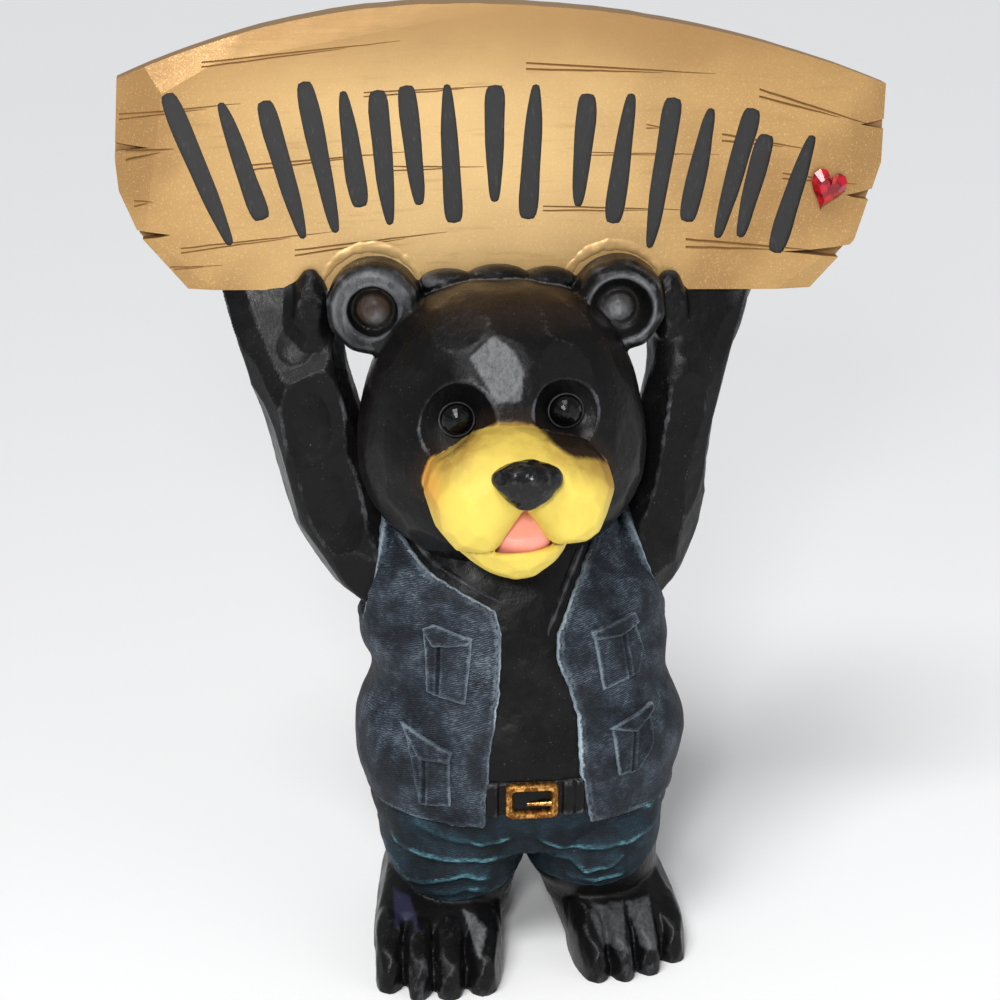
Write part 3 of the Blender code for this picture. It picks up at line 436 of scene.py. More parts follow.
def step(distance, width=1.6):
    """0 outside and 1 inside, with a smooth rise about the edge."""
    t = np.clip(distance / width + 0.5, 0, 1)
    return t * t * (3 - 2 * t)


def lumps(points, size, offset=0.0):
    """Smooth random heights from -1 to 1 with features of that size."""
    shift = Vector((offset, offset, offset))
    return np.array([noise.noise(Vector(point) / size + shift) for point in points])


def line_distance(x, z, line):
    """The distance from each point to a line of points across the front."""
    nearest = np.full(len(x), 1e9)
    for (ax, az), (bx, bz) in zip(line, line[1:]):
        length = (bx - ax) ** 2 + (bz - az) ** 2
        t = np.clip(((x - ax) * (bx - ax) + (z - az) * (bz - az)) / length, 0, 1)
        nearest = np.minimum(nearest, np.hypot(x - ax - t * (bx - ax), z - az - t * (bz - az)))
    return nearest


def beside(x, z, line, side):
    """Distance from the line, positive on the side of lower x (-1) or of higher x (1)."""
    edge = np.interp(z, [p[1] for p in line], [p[0] for p in line])
    return np.where((x - edge) * side > 0, 1, -1) * line_distance(x, z, line)


def within(x, z, line, side):
    """Distance from the straight line of an armhole, positive on the body's side."""
    (ax, az), (bx, bz) = line
    length = math.hypot(bx - ax, bz - az)
    return side * ((x - ax) * (bz - az) - (z - az) * (bx - ax)) / length


def polygon_distance(p, outline):
    """Positive inside an outline across the front."""
    x, y, z = p.T
    closed = (*outline, outline[0])
    inside = np.zeros(len(p), bool)
    for (ax, az), (bx, bz) in zip(closed, closed[1:]):
        crosses = ((az > z) != (bz > z)) & (x < (bx - ax) * (z - az) / ((bz - az) or 1e-9) + ax)
        inside ^= crosses
    distance = line_distance(x, z, closed)
    return np.where(y < 0, np.where(inside, distance, -distance), -99)


# Edges of the vest, as x and z across the front
LEFT_FRONT_EDGE = (
    (-13, 78), (-10, 124), (-4, 157), (-2, 190), (-5, 202), (-19, 209), (-40, 221), (-55, 238), (-66, 256),
)
RIGHT_FRONT_EDGE = (
    (46, 78), (39, 115), (38, 144), (33, 161), (27, 175), (28, 189), (37, 209), (51, 235), (70, 258),
)
LEFT_ARMHOLE = ((-71, 187), (-62, 246))
RIGHT_ARMHOLE = ((92, 186), (70, 250))
VEST_HEM = (90, 85)
VEST_TOP = 248


def vest_distance(p, labels):
    """Positive inside the vest: panels beside the front edges, between armholes, above the hem."""
    x, y, z = p.T
    left = beside(x, z, LEFT_FRONT_EDGE, -1)
    right = beside(x, z, RIGHT_FRONT_EDGE, 1)
    panels = np.where(y < 0, np.maximum(left, right), 99)
    left_hole = np.maximum(within(x, z, LEFT_ARMHOLE, 1), LEFT_ARMHOLE[0][1] - z)
    right_hole = np.maximum(within(x, z, RIGHT_ARMHOLE, -1), RIGHT_ARMHOLE[0][1] - z)
    side_height, front_height = VEST_HEM
    hem = front_height + (side_height - front_height) * np.clip((y + 70) / 60, 0, 1)
    inside = np.minimum.reduce([panels, left_hole, right_hole, z - hem, VEST_TOP - z])
    cloth = (labels == TRUNK) | (labels == ARM) | (labels == LEG)
    return np.where(cloth, inside, -99)


# Swells of the vest down the two sides of the outline: height, how far it stands out, and its reach
SIDE_SWELLS = {
    -1: ((177, 1.6, 8), (150, -1.0, 10), (112, 0.8, 10)),
    1: ((173, 0.8, 9), (152, -0.8, 8), (118, 0.4, 12)),
}


def side_swell(p):
    """The outline's soft swells, strongest at the two sides."""
    x, y, z = p.T
    total = np.zeros(len(p))
    for side, swells in SIDE_SWELLS.items():
        flank = np.clip(((x - 12) * side - 40) / 35, 0, 1)
        for height, stand, reach in swells:
            total += flank * stand * np.exp(-((z - height) / reach) ** 2)
    return total


def block_out(*parts):
    """The trunk, the legs and feet, and the arms, or some of them."""
    block = BlockOut()
    if "trunk" in parts:
        block.upright(TORSO, TRUNK, 2.3)
    if "legs" in parts:
        block.upright(LEFT_LEG, LEG, 2.4)
        block.upright(RIGHT_LEG, LEG, 2.4)
        block.foot(*LEFT_FOOT)
        block.foot(*RIGHT_FOOT)
    if "arms" in parts:
        block.arm(LEFT_ARM)
        block.arm(RIGHT_ARM)
        for number, thumb in enumerate(THUMBS):
            body = len(block.points)
            block.ellipsoid(thumb, THUMB, 2.4)
            block.facet(body, facings(36, 40 + number), 1.3)
    return block


# The whole figure as one skin: the clothes are cut from it
whole = block_out("trunk", "legs", "arms")
dressed = one_skin(whole, CLOTH_VOXEL, 8)
labels = whole.labels_at(dressed.points)
dressed.push(side_swell(dressed.points) * ((labels == TRUNK) | (labels == LEG)))
dressed.fields = {"vest": vest_distance(dressed.points, labels), "part": labels.astype(float)}


def bare_part(name, voxel, wear):
    """A bare part of the body as its own skin, lightly uneven, whose ridges are rubbed by its wear."""
    block = block_out(name)
    skin = one_skin(block, voxel, 4)
    if name == "arms":
        chisel(skin, np.clip(block.distance_to(skin.points, THUMB) / 6, 0, 1))
    skin.push(0.15 * lumps(skin.points, 5.0) + 0.25 * lumps(skin.points, 14.0, 3.0))
    if name == "trunk":
        skin.push(1.3 * lumps(skin.points, 24.0, 2.0))
    skin.points[:, 2] = np.maximum(skin.points[:, 2], 0)
    skin.fields = {"worn": skin.bend() * wear}
    for field in ("brown", "highlight_and_rub", "blue"):
        skin.fields[field] = np.zeros(len(skin.points))
    return skin


trunk = bare_part("trunk", 1.8, 0.0)
arms = bare_part("arms", 1.1, 0.75)
feet = bare_part("legs", 1.16, 0.55)

# Facets of the toes with a painted highlight, as x and z across the front, and its strength
TOE_HIGHLIGHTS = (
    (((-24.5, 33), (-12.7, 29.5), (-18.5, 20)), 0.55),
    (((45.3, 30.4), (64.7, 31.2), (61, 17.8), (50.5, 17.8)), 0.26),
    (((66.6, 31), (79.4, 32.2), (81.4, 15.1), (71.7, 15.8)), 0.30),
)
for outline, share in TOE_HIGHLIGHTS:
    highlight_and_rub = step(polygon_distance(feet.points, outline) + 0.6 * lumps(feet.points, 2.0), 1.4)
    feet.fields["highlight_and_rub"] = np.maximum(feet.fields["highlight_and_rub"], share * highlight_and_rub)
# The bluish facet on the left foot
BLUE_FACET = ((-61, 38), (-53, 37.5), (-49.5, 30), (-62, 29))
feet.fields["blue"] = 0.5 * step(polygon_distance(feet.points, BLUE_FACET), 1.5) * (feet.points[:, 1] < -30)


def add_node(tree, kind, inputs, **settings):
    """A new node with its settings, and values or links for its inputs."""
    node = tree.nodes.new(kind)
    for key, value in settings.items():
        setattr(node, key, value)
    for key, value in inputs.items():
        if isinstance(value, bpy.types.NodeSocket):
            tree.links.new(value, node.inputs[key])
        else:
            node.inputs[key].default_value = value
    return node


class Paint:
    """A painted finish built from nodes: one shader and what feeds it."""

    def __init__(self, name, **sockets):
        self.material = bpy.data.materials.new(name)
        self.material.use_nodes = True
        self.tree = self.material.node_tree
        self.surface = self.tree.nodes["Principled BSDF"]
        for socket, value in sockets.items():
            self.surface.inputs[socket.replace("_", " ")].default_value = value

    def node(self, kind, inputs, **settings):
        return add_node(self.tree, "ShaderNode" + kind, inputs, **settings)

    def field(self, name):
        return self.node("Attribute", {}, attribute_name=name).outputs["Fac"]

    def place(self, stretch=(1, 1, 1), turn=(0, 0, 0)):
        point = self.node("TexCoord", {}).outputs["Object"]
        return self.node("Mapping", {"Vector": point, "Scale": stretch, "Rotation": turn}).outputs[0]

    def noise(self, size, detail=3.0, rough=0.55, stretch=(1, 1, 1), turn=(0, 0, 0)):
        """Random heights with features of that size in millimetres."""
        place = self.place(stretch, turn)
        inputs = {"Vector": place, "Scale": 1000 / size, "Detail": detail, "Roughness": rough}
        return self.node("TexNoise", inputs).outputs[0]

    def maths(self, operation, a, b=0.0, c=0.0):
        return self.node("Math", {0: a, 1: b, 2: c}, operation=operation).outputs[0]

    def times(self, a, b):
        return self.maths("MULTIPLY", a, b)

    def between(self, value, low, high, start=0.0, end=1.0):
        """The value carried from the range low to high to the range start to end."""
        inputs = {"Value": value, "From Min": low, "From Max": high, "To Min": start, "To Max": end}
        return self.node("MapRange", inputs, interpolation_type="SMOOTHSTEP").outputs[0]

    def blend(self, factor, a, b):
        inputs = {0: factor}
        for key, value in ((6, a), (7, b)):
            inputs[key] = (*value, 1.0) if isinstance(value, tuple) else value
        return self.node("Mix", inputs, data_type="RGBA").outputs[2]

    def bump(self, height, depth, strength=1.0, under=None):
        """A fine relief of that depth in millimetres."""
        inputs = {"Height": height, "Distance": depth / 1000, "Strength": strength}
        if under is not None:
            inputs["Normal"] = under
        return self.node("Bump", inputs).outputs[0]

    def mottled(self, pattern, span, tones, dull, relief=0):
        """Finished in two tones and two roughnesses, and a relief if any, that follow one pattern."""
        colour = self.blend(self.between(pattern, *span), *tones)
        links = {"Base_Color": colour, "Roughness": self.between(pattern, 0.3, 0.7, *dull)}
        if relief:
            links["Normal"] = self.bump(pattern, relief, 0.6)
        return self.finish(**links)

    def finish(self, **links):
        for socket, value in links.items():
            self.tree.links.new(value, self.surface.inputs[socket.replace("_", " ")])
        return self.material


FUR_BLACK = (0.0042, 0.0041, 0.0044)
FUR_GREY = (0.115, 0.118, 0.128)
FUR_BROWN = (0.040, 0.021, 0.010)
# Pale grey of the painted highlights and of the dust specks
FUR_BRIGHT = (0.26, 0.27, 0.28)
FUR_BLUE = (0.030, 0.030, 0.075)


def fur_layers(paint):
    """Gloss black, rubbed grey on the ridges, with a warm brown mist and painted highlights: colour,
    roughness and relief.
    """
    hairs = paint.noise(1.3, 5.0, 0.7, (1, 1, 0.35), (0.3, 0.5, 0.0))
    clouds = paint.noise(22, 3.0, 0.6)
    rub = paint.maths("MULTIPLY_ADD", hairs, 0.9, paint.maths("ADD", paint.field("worn"), -0.45))
    rub = paint.times(paint.between(rub, 0.25, 0.95), paint.between(clouds, 0.40, 0.62, 0.08, 0.75))
    haze = paint.between(clouds, 0.50, 0.75, 0.0, 0.03)
    colour = paint.blend(paint.maths("MAXIMUM", rub, haze), FUR_BLACK, FUR_GREY)
    brown = paint.times(paint.field("brown"), paint.between(hairs, 0.35, 0.7, 0.5, 1.0))
    colour = paint.blend(brown, colour, FUR_BROWN)
    # Painted highlights, and some rubbed grey, laid in pale grey where the field of highlights says, broken
    # by scratches
    scratches = paint.noise(2.2, 6.0, 0.75, (1, 1, 0.5), (0.0, 0.8, 0.0))
    highlight_and_rub = paint.times(paint.field("highlight_and_rub"), paint.between(scratches, 0.25, 0.75, 0.35, 1.0))
    colour = paint.blend(highlight_and_rub, colour, FUR_BRIGHT)
    colour = paint.blend(paint.field("blue"), colour, FUR_BLUE)
    dust = paint.between(paint.noise(0.9, 1.0, 0.5), 0.73, 0.78)
    dust = paint.times(dust, paint.between(clouds, 0.4, 0.6, 0.0, 0.4))
    colour = paint.blend(dust, colour, FUR_BRIGHT)
    dull = paint.between(hairs, 0.3, 0.8, 0.0, 0.12)
    roughness = paint.maths("ADD", paint.between(clouds, 0.3, 0.7, 0.23, 0.36), dull)
    relief = paint.bump(hairs, 0.16, 0.7, paint.bump(paint.noise(5.0, 2.0), 0.35, 0.6))
    return colour, roughness, relief


paint = Paint("gloss_black_fur", Specular_IOR_Level=0.15)
colour, roughness, relief = fur_layers(paint)
fur = paint.finish(Base_Color=colour, Roughness=roughness, Normal=relief)
trunk.piece("bear_trunk", fur)
arms.piece("bear_arms", fur)
feet.piece("bear_feet", fur)

# The head
# Skull, ears and muzzle are cast with the body. The muzzle is brushed yellow over the black, with
# brown mist at its upper and outer edge, and a bowl is carved round each eye.

HEAD = (
    (222, 2, -8, 22, 20), (230, 2, -11, 46, 42), (245, 2, -13, 64, 57), (264, 2.5, -13, 75, 65),
    (284, 2.5, -13, 78, 67), (306, 2.5, -12, 75.5, 65), (328, 2.5, -12, 69.5, 60),
    (348, 2.5, -12, 58.5, 51), (362, 2.5, -12, 44, 38), (370, 2.5, -12, 26, 23), (372.5, 2.5, -12, 8, 7),
)
# Ear: its centre, its turn, and the radius and depth of each step of its turned profile
EARS = (
    ((-65, -8, 358.5), math.radians(-8), (
        (0, 22), (21, 22), (25.3, 14), (25.8, 0), (24.6, -5.5), (20.8, -9.6), (14.6, -10.0),
        (13.4, -8.8), (12.6, -1.5), (10.6, -0.6), (9.6, -1.6), (8.2, -4.2), (5, -6.2), (0, -7.0),
    )),
    ((66, -8, 357), math.radians(-3), (
        (0, 22), (21, 22), (25.3, 14), (25.8, 0), (24.4, -6.0), (20.6, -10.0), (18.2, -10.6),
        (16.8, -9.8), (12.6, -3.6), (9.8, -1.6), (8.4, -2.6), (7.0, -4.8), (4, -6.4), (0, -7.0),
    )),
)
EAR_SIDES = (10, 8)
# Painted highlights on the domes in the ears: x and z across the front, reach, and strength
EAR_GLINTS = ((-63.5, 354.5, 4.5, 0.60), (63.5, 355, 5.5, 1.00))
# Sections of the two cheeks: height, centre x, centre y, half width, half depth
LEFT_CHEEK = (
    (251.5, -20.0, -87, 6, 9), (254, -20.3, -87, 13.5, 20), (259.5, -20.6, -84, 17.5, 28.5),
    (266, -19.6, -81, 21.4, 32.5), (273, -18, -79.5, 25.2, 34.5), (282, -16.5, -79, 29, 35),
    (292, -13, -78, 28.5, 33.5), (301, -8, -76, 24, 29), (308, -3, -73, 17, 21), (312, 0, -70, 8, 10),
)
RIGHT_CHEEK = (
    (254, 29.6, -87, 6, 9), (256.5, 29.8, -87, 13, 20), (262, 29.4, -84, 16.6, 28.5),
    (268, 28.6, -81, 20.4, 32.5), (274, 27.6, -79.5, 24.4, 34.5), (282, 26, -79, 28, 35),
    (292, 21.5, -78, 28, 33.5), (301, 16, -76, 24.5, 29), (308, 10, -73, 17, 21), (312, 6, -70, 8, 10),
)
# Bridge of the muzzle and crown roll, as ellipsoids: centre x, y, z, half sizes x, y, z
BRIDGE = (4.5, -81, 292, 26, 34, 20)
# Jaw as a bowl: height, centre x, centre y, half width, half depth, up to its lip and down inside
JAW = (
    (232.6, 3, -83, 5, 7), (233.9, 3, -82.5, 9.5, 11.5), (238, 2.5, -81, 17.5, 18), (245, 1, -79, 25, 23),
    (251.5, 0, -77, 30, 26), (255.4, -0.5, -76, 32.4, 27.8), (257.2, -0.5, -76, 31.3, 27.2),
    (257.4, -0.5, -76, 29, 25.2), (255.6, -0.5, -76, 27, 22.8), (253.8, -0.5, -76, 25, 21),
    (253, -0.5, -76, 12, 11),
)
# The lip slopes down to the front: slope, and the depth of its level point. Its height is there
LIP_SLOPE = (0.24, -76)
LIP_HEIGHT = 257
LIP_RADIUS = 27.4
CROWN_ROLL = ((-25, 4, 369, 15, 12, 7), (2, 3, 371, 17, 12, 7), (29, 4, 369, 15, 12, 7))
# Upper edge of the yellow, as x and z across the front
MUZZLE_EDGE = (
    (-70, 284), (-50, 291), (-39, 296.5), (-28.6, 303), (-19, 309), (-14, 312), (-3, 315.5), (12, 312.5),
    (24.5, 304.5), (30, 301.5), (44, 296.8), (55, 287), (80, 276),
)
# Orange blushes at the ends of the yellow: x and z across the front, reach in x and z, and strength
BLUSHES = ((-44, 284, 7, 14, 1.0), (53, 285, 6, 12, 0.6))
# Bowls round the eyes: centre, radius of the rim and depth
EYE_BOWLS = (((-28, -66, 312.5), 18.0, 6.0), ((31, -66, 316.5), 15.5, 5.0))
# The broad facet of the forehead and those round it, as turn and lift in degrees
BROW_FACETS = ((-5, 27), (21, 24), (-31, 17), (-27, 46), (6, 50), (33, 48), (-4, 1))
# Outline of the painted highlight on the forehead's broad facet, as x and z across the front
FOREHEAD_HIGHLIGHT = ((-19, 344.5), (-6, 354.7), (4, 347), (8, 337.5), (6, 323.5), (-6.4, 323))
HEAD_VOXEL = 1.19


def add_ear(block, centre, turn, profile, sides):
    """A cupped ear turned about an axis that faces forward, with a faceted rim and a dome in its cup."""
    swing = Matrix.Rotation(turn, 4, "Z")
    angle = np.linspace(0, 2 * math.pi, 80, endpoint=False)
    flat = np.cos(math.pi / sides) / np.cos((angle + 0.2) % (2 * math.pi / sides) - math.pi / sides)
    rings = []
    for radius, depth in profile:
        carved = 0.55 * np.clip((radius - 15) / 4, 0, 1) if depth < 10 else 0.0
        reach = max(radius, 0.4) * (1 + carved * (flat - 1))
        circle = np.column_stack([reach * np.cos(angle), np.full(80, depth), reach * np.sin(angle)])
        rings.append(np.array([swing @ Vector(p) + Vector(centre) for p in circle]))
    block.loft(rings, EAR)


def towards(turn, lift):
    """The direction that faces forward, turned to the side and lifted by degrees."""
    turn, lift = math.radians(turn), math.radians(lift)
    return np.array((math.sin(turn) * math.cos(lift), -math.cos(turn) * math.cos(lift), math.sin(lift)))


def scoop(skin, centre, radius, depth, weight):
    """Carve a round bowl whose rim has that radius, facing away from the head's middle."""
    centre = np.array(centre)
    outward = np.array(Vector((centre[0] * 0.008, -1.0, 0.14)).normalized())
    ball = (radius ** 2 + depth ** 2) / (2 * depth)
    middle = centre + outward * (ball - depth)
    away = skin.points - middle
    distance = np.linalg.norm(away, axis=1)
    inside = (distance < ball) & (away @ outward < 0) & weight
    skin.points[inside] = middle + away[inside] / distance[inside, None] * ball


head_block = BlockOut()
head_block.upright(HEAD, SKULL, 2.1)
brow = [towards(*angles) for angles in BROW_FACETS]
rest = [facing for facing in facings(90, 21) if max(facing @ other for other in brow) < 0.94]
head_block.facet(0, brow, 1.5)
head_block.facet(0, rest, 1.0)
for (centre, turn, profile), sides in zip(EARS, EAR_SIDES):
    add_ear(head_block, centre, turn, profile, sides)
body = len(head_block.points)
head_block.upright(LEFT_CHEEK, CHEEK, 2.4)
head_block.upright(RIGHT_CHEEK, CHEEK, 2.4)
head_block.ellipsoid(BRIDGE, CHEEK)
head_block.facet(body, facings(46, 14), 1.9)
body = len(head_block.points)
head_block.upright(JAW, JAWBONE, 2.1)
head_block.facet(body, [facing for facing in facings(46, 3) if facing[2] < 0.0], 1.2)
for i in range(body, len(head_block.points)):
    point = head_block.points[i]
    lift = min(max((point[2] - 240) / 14, 0), 1)
    head_block.points[i] = point + np.array((0, 0, LIP_SLOPE[0] * (point[1] - LIP_SLOPE[1]) * lift))
for lobe in CROWN_ROLL:
    head_block.ellipsoid(lobe, CROWN)
head = one_skin(head_block, HEAD_VOXEL, 3)
labels_head = head_block.labels_at(head.points)
skull = head_block.distance_to(head.points, SKULL)
snout = head_block.distance_to(head.points, CHEEK, JAWBONE)
x, y, z = head.points.T
arch = height_at(x, MUZZLE_EDGE) - z
front = np.where(np.isin(labels_head, (CHEEK, JAWBONE, SKULL)), skull - snout, -9)
muzzle = np.minimum(front + 1.5, np.where(y < -40, arch, -9))
for _ in range(4):
    muzzle = head.mean(muzzle)
for centre, radius, depth in EYE_BOWLS:
    scoop(head, centre, radius, depth, (labels_head == SKULL) & (muzzle < 2))
head.push(0.13 * lumps(head.points, 6.0) + 0.08 * lumps(head.points, 3.0, 5.0))
head.fields["muzzle"] = muzzle
head.fields["worn"] = head.bend()
x, y, z = head.points.T
crown = 0.55 * np.clip((z - 352) / 14, 0, 1) * (labels_head == SKULL) * np.clip(-(y + 5) / 12, 0, 1)
cheeks = np.clip((np.abs(x - 2) - 52) / 26, 0, 1) * (labels_head == SKULL) * 0.1
around = [np.hypot(x - centre[0], z - centre[2]) for centre, _, _ in EARS]
ear_front = (labels_head == EAR) * (y < 0)
domes = np.maximum(step(9.5 - around[0], 2), 0.2 * step(9.5 - around[1], 2)) * ear_front
head.fields["brown"] = np.maximum.reduce([crown, cheeks, domes, 0.5 * step(muzzle + 5, 10) * (z > 270)])
# A painted highlight along the crease under the crown roll, on the front of the skull
from_roll = head_block.distance_to(head.points, CROWN)
roll_highlight = np.exp(-((from_roll - 0.8) / 0.7) ** 2) * (labels_head == SKULL) * (y < 2)
# Painted highlights of the ears: a pale band on the left rim, lighter towards its upper left, a thin line
# round the right rim, a spot on its dome, and the glints on both domes
turned = np.arctan2(z - EARS[0][0][2], x - EARS[0][0][0])
left_rim_highlight = step(around[0] - 14.5, 1.5) * step(22.5 - around[0], 3)
left_rim_highlight *= np.clip(0.35 + 0.65 * np.cos(turned - 2.2), 0.1, 1)
right_rim_highlight = np.exp(-((around[1] - 17.9) / 0.8) ** 2) + 0.5 * step(4 - np.hypot(x - 63, z - 355), 5)
rims = [0.45 * left_rim_highlight, 0.7 * right_rim_highlight]
for middle_x, middle_z, reach, share in EAR_GLINTS:
    rims.append(share * np.exp(-(np.hypot(x - middle_x, z - middle_z) / reach) ** 2))
rims = ear_front * np.maximum.reduce(rims)
# The head's painted highlights: the ears, a line under the crown roll and the forehead facet
forehead_highlight = step(polygon_distance(head.points, FOREHEAD_HIGHLIGHT) + 0.5 * lumps(head.points, 2.5), 1.2)
head.fields["highlight_and_rub"] = np.maximum.reduce([rims, 0.5 * roll_highlight, 0.62 * forehead_highlight])
head.fields["mist"] = np.clip(1 - arch / 15.0, 0, 1) ** 1.2 * np.clip(0.66 + np.abs(x - 2) / 90, 0, 1)
# A brown line along the crease where the cheeks meet the jaw and inside the lip, painted in as the shade of
# those recesses
lobes = head_block.distance_to(head.points, CHEEK)
jaw = head_block.distance_to(head.points, JAWBONE)
crease_shade = np.exp(-(np.maximum(lobes, jaw) / 1.5) ** 2)
lip = LIP_HEIGHT + LIP_SLOPE[0] * (y - LIP_SLOPE[1])
inner = (labels_head == JAWBONE) * step(lip - z, 1.2) * step(z - lip + 6, 2)
inner = inner * (np.hypot(x + 0.5, (y - LIP_SLOPE[1]) * 1.2) < LIP_RADIUS)
head.fields["crease_shade"] = np.maximum(0.75 * crease_shade, 0.9 * inner)
blush = np.zeros(len(x))
for middle_x, middle_z, wide, high, share in BLUSHES:
    blush += share * np.exp(-(((x - middle_x) / wide) ** 2 + ((z - middle_z) / high) ** 2))
head.fields["blush"] = 0.8 * blush * (muzzle > -3)

YELLOW = (0.76, 0.585, 0.110)
YELLOW_SHADE = (0.58, 0.43, 0.080)
MUZZLE_MIST = (0.26, 0.135, 0.030)
MUZZLE_CREASE_SHADE = (0.20, 0.090, 0.012)
MUZZLE_BLUSH = (0.66, 0.28, 0.045)

paint = Paint("fur_and_muzzle", Specular_IOR_Level=0.15)
colour, roughness, relief = fur_layers(paint)
inside = paint.maths("ADD", paint.field("muzzle"), -0.6)
ragged = paint.maths("MULTIPLY_ADD", paint.noise(2.6, 3.0, 0.6), 1.2, inside)
mask = paint.between(ragged, -0.6, 1.6)
streak = paint.noise(9, 3.0, 0.6, (1, 1, 0.45))
yellow = paint.blend(paint.between(streak, 0.45, 0.8, 0.0, 0.35), YELLOW, YELLOW_SHADE)
yellow = paint.blend(paint.between(paint.field("worn"), -1.0, -0.5, 0.9, 0.0), yellow, MUZZLE_MIST)
mist = paint.times(paint.field("mist"), paint.between(streak, 0.25, 0.65, 0.6, 1.0))
yellow = paint.blend(mist, yellow, MUZZLE_MIST)
yellow = paint.blend(paint.field("blush"), yellow, MUZZLE_BLUSH)
# Painted shade of the crease under the cheeks and inside the lip, in broken brown
broken = paint.between(paint.noise(2.0, 3.0, 0.6), 0.35, 0.6, 0.25, 1.0)
crease_shade = paint.times(paint.field("crease_shade"), broken)
yellow = paint.blend(crease_shade, yellow, MUZZLE_CREASE_SHADE)
colour = paint.blend(mask, colour, yellow)
roughness = paint.maths("MAXIMUM", roughness, paint.times(mask, 0.44))
head.piece("bear_head", paint.finish(Base_Color=colour, Roughness=roughness, Normal=relief))

# Nose, tongue and eye rings
# The nose is a lumpy blob of thick gloss black over the yellow, and the tongue is smooth pink
# paint. A thin ring of filler holds each domed eye bead in its bowl.

NOSE = (4.6, -115.5, 292.5)
# Outline of the nose from its tip up: height, half width, half depth
NOSE_SECTIONS = (
    (-13, 0.6, 1), (-12.3, 4.5, 5), (-9, 9, 8), (-5, 13.2, 9.8), (0, 17, 10.5), (4, 18, 10.5),
    (7.5, 16, 9.5), (10, 11, 8), (11.6, 5, 5), (12, 0.6, 1),
)
NOSE_SAG = -0.10
TONGUE = (4, -80.5, 258.5, 18.5, 19.5, 18.5)


def make_nose():
    nose_block = BlockOut()
    rings = []
    for height, half_width, half_depth in through(NOSE_SECTIONS, 40):
        centre = (NOSE[0], NOSE[1] + NOSE_SAG * height, NOSE[2] + height)
        rings.append(ring(centre, ACROSS, DEEP, max(half_width, 0.4), max(half_depth, 0.6), 2.3))
    nose_block.loft(rings, CHEEK)
    nose = one_skin(nose_block, 0.7, 3)
    nose.push(0.8 * lumps(nose.points, 6.0, 2.0) + 0.25 * lumps(nose.points, 2.2, 7.0))
    return nose


nose = make_nose()
nose.fields["worn"] = nose.bend()
paint = Paint("thick_gloss_black", Specular_IOR_Level=0.3)
grit = paint.noise(1.2, 5.0, 0.7)
worn = paint.between(paint.field("worn"), 0.3, 1.0, 0.0, 0.35)
colour = paint.blend(worn, (0.004, 0.004, 0.004), (0.05, 0.05, 0.055))
roughness = paint.between(grit, 0.3, 0.7, 0.12, 0.30)
relief = paint.bump(grit, 0.10, 0.6)
nose.piece("bear_nose", paint.finish(Base_Color=colour, Roughness=roughness, Normal=relief))

tongue_block = BlockOut()
tongue_block.ellipsoid(TONGUE, CHEEK, 2.5)
tongue_block.facet(0, [(-0.05, -0.80, 0.60)], 4.5)
tongue = one_skin(tongue_block, 1.0, 4)
paint = Paint("pink_tongue", Coat_Weight=0.1, Coat_Roughness=0.3)
tones = ((0.90, 0.36, 0.29), (0.76, 0.25, 0.20))
tongue.piece("bear_tongue", paint.mottled(paint.noise(7, 3.0), (0.3, 0.8, 0.0, 0.5), tones, (0.36, 0.5)))

RING_RADIUS = 9.0
RING_THICKNESS = 0.42
RING_STEPS = 64
RING_SIDES = 10


def make_eye_rings():
    rings_block = BlockOut()
    for x, y, z in EYES:
        around = []
        for angle in np.linspace(0, 2 * math.pi, RING_STEPS, endpoint=False):
            out = np.array((math.cos(angle), 0, math.sin(angle)))
            thick = RING_THICKNESS * (1 + 0.22 * noise.noise(Vector((x + 3 * out[0], 0, 3 * out[2]))))
            centre = np.array((x, y - 0.4, z)) + out * RING_RADIUS
            around.append(ring(centre, out, DEEP, thick, 1.6 * thick, 2.0, RING_SIDES))
        start = len(rings_block.points)
        rings_block.loft(around, CHEEK)
        del rings_block.faces[-2:]
        del rings_block.labels[-2:]
        last = start + (RING_STEPS - 1) * RING_SIDES
        for i in range(RING_SIDES):
            j = (i + 1) % RING_SIDES
            rings_block.faces.append((last + i, last + j, start + j, start + i))
            rings_block.labels.append(CHEEK)
    quads = np.array(rings_block.faces)
    triangles = np.vstack([quads[:, [0, 1, 2]], quads[:, [0, 2, 3]]])
    return Skin(np.array(rings_block.points), triangles[:, ::-1])


eye_rings = make_eye_rings()
flat = np.ones(len(eye_rings.points))
eye_rings.fields = {"worn": 0.6 * flat, "highlight_and_rub": 0.10 * flat}
eye_rings.piece("eye_rings", fur)

paint = Paint("black_glass_eye", Base_Color=(0.0025, 0.0025, 0.0025, 1), Specular_IOR_Level=0.22)
eye_glass = paint.finish(Roughness=paint.between(paint.noise(3.0), 0.35, 0.75, 0.13, 0.19))
for name in ("left_eye", "right_eye"):
    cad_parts[name].data.materials[0] = eye_glass

# The vest
# Carved denim, 3.6 mm proud of the body. It is sprayed slate blue over black, scratched with fine
# weave lines, and its edges are dry-brushed in pale blue over a row of pricked stitches.

VEST_RISE = 3.6
VEST_LEAST_RISE = 1.4
# The place on the left front of a painted highlight, laid as more of the pale brushing, and its reach
HIGHLIGHT_PLACE = (-13, 172)
HIGHLIGHT_REACH = (14, 24)


def vest_folds(p):
    """Soft hollows and swells of the cloth."""
    x, y, z = p.T
    waves = np.sin(z * 0.16 + np.sign(x - 14) * 0.8) + 0.6 * np.sin(x * 0.19 + z * 0.07 + y * 0.05)
    return 0.55 * waves + 0.9 * lumps(p, 16.0, 9.0) + 0.35 * lumps(p, 7.0, 4.0)


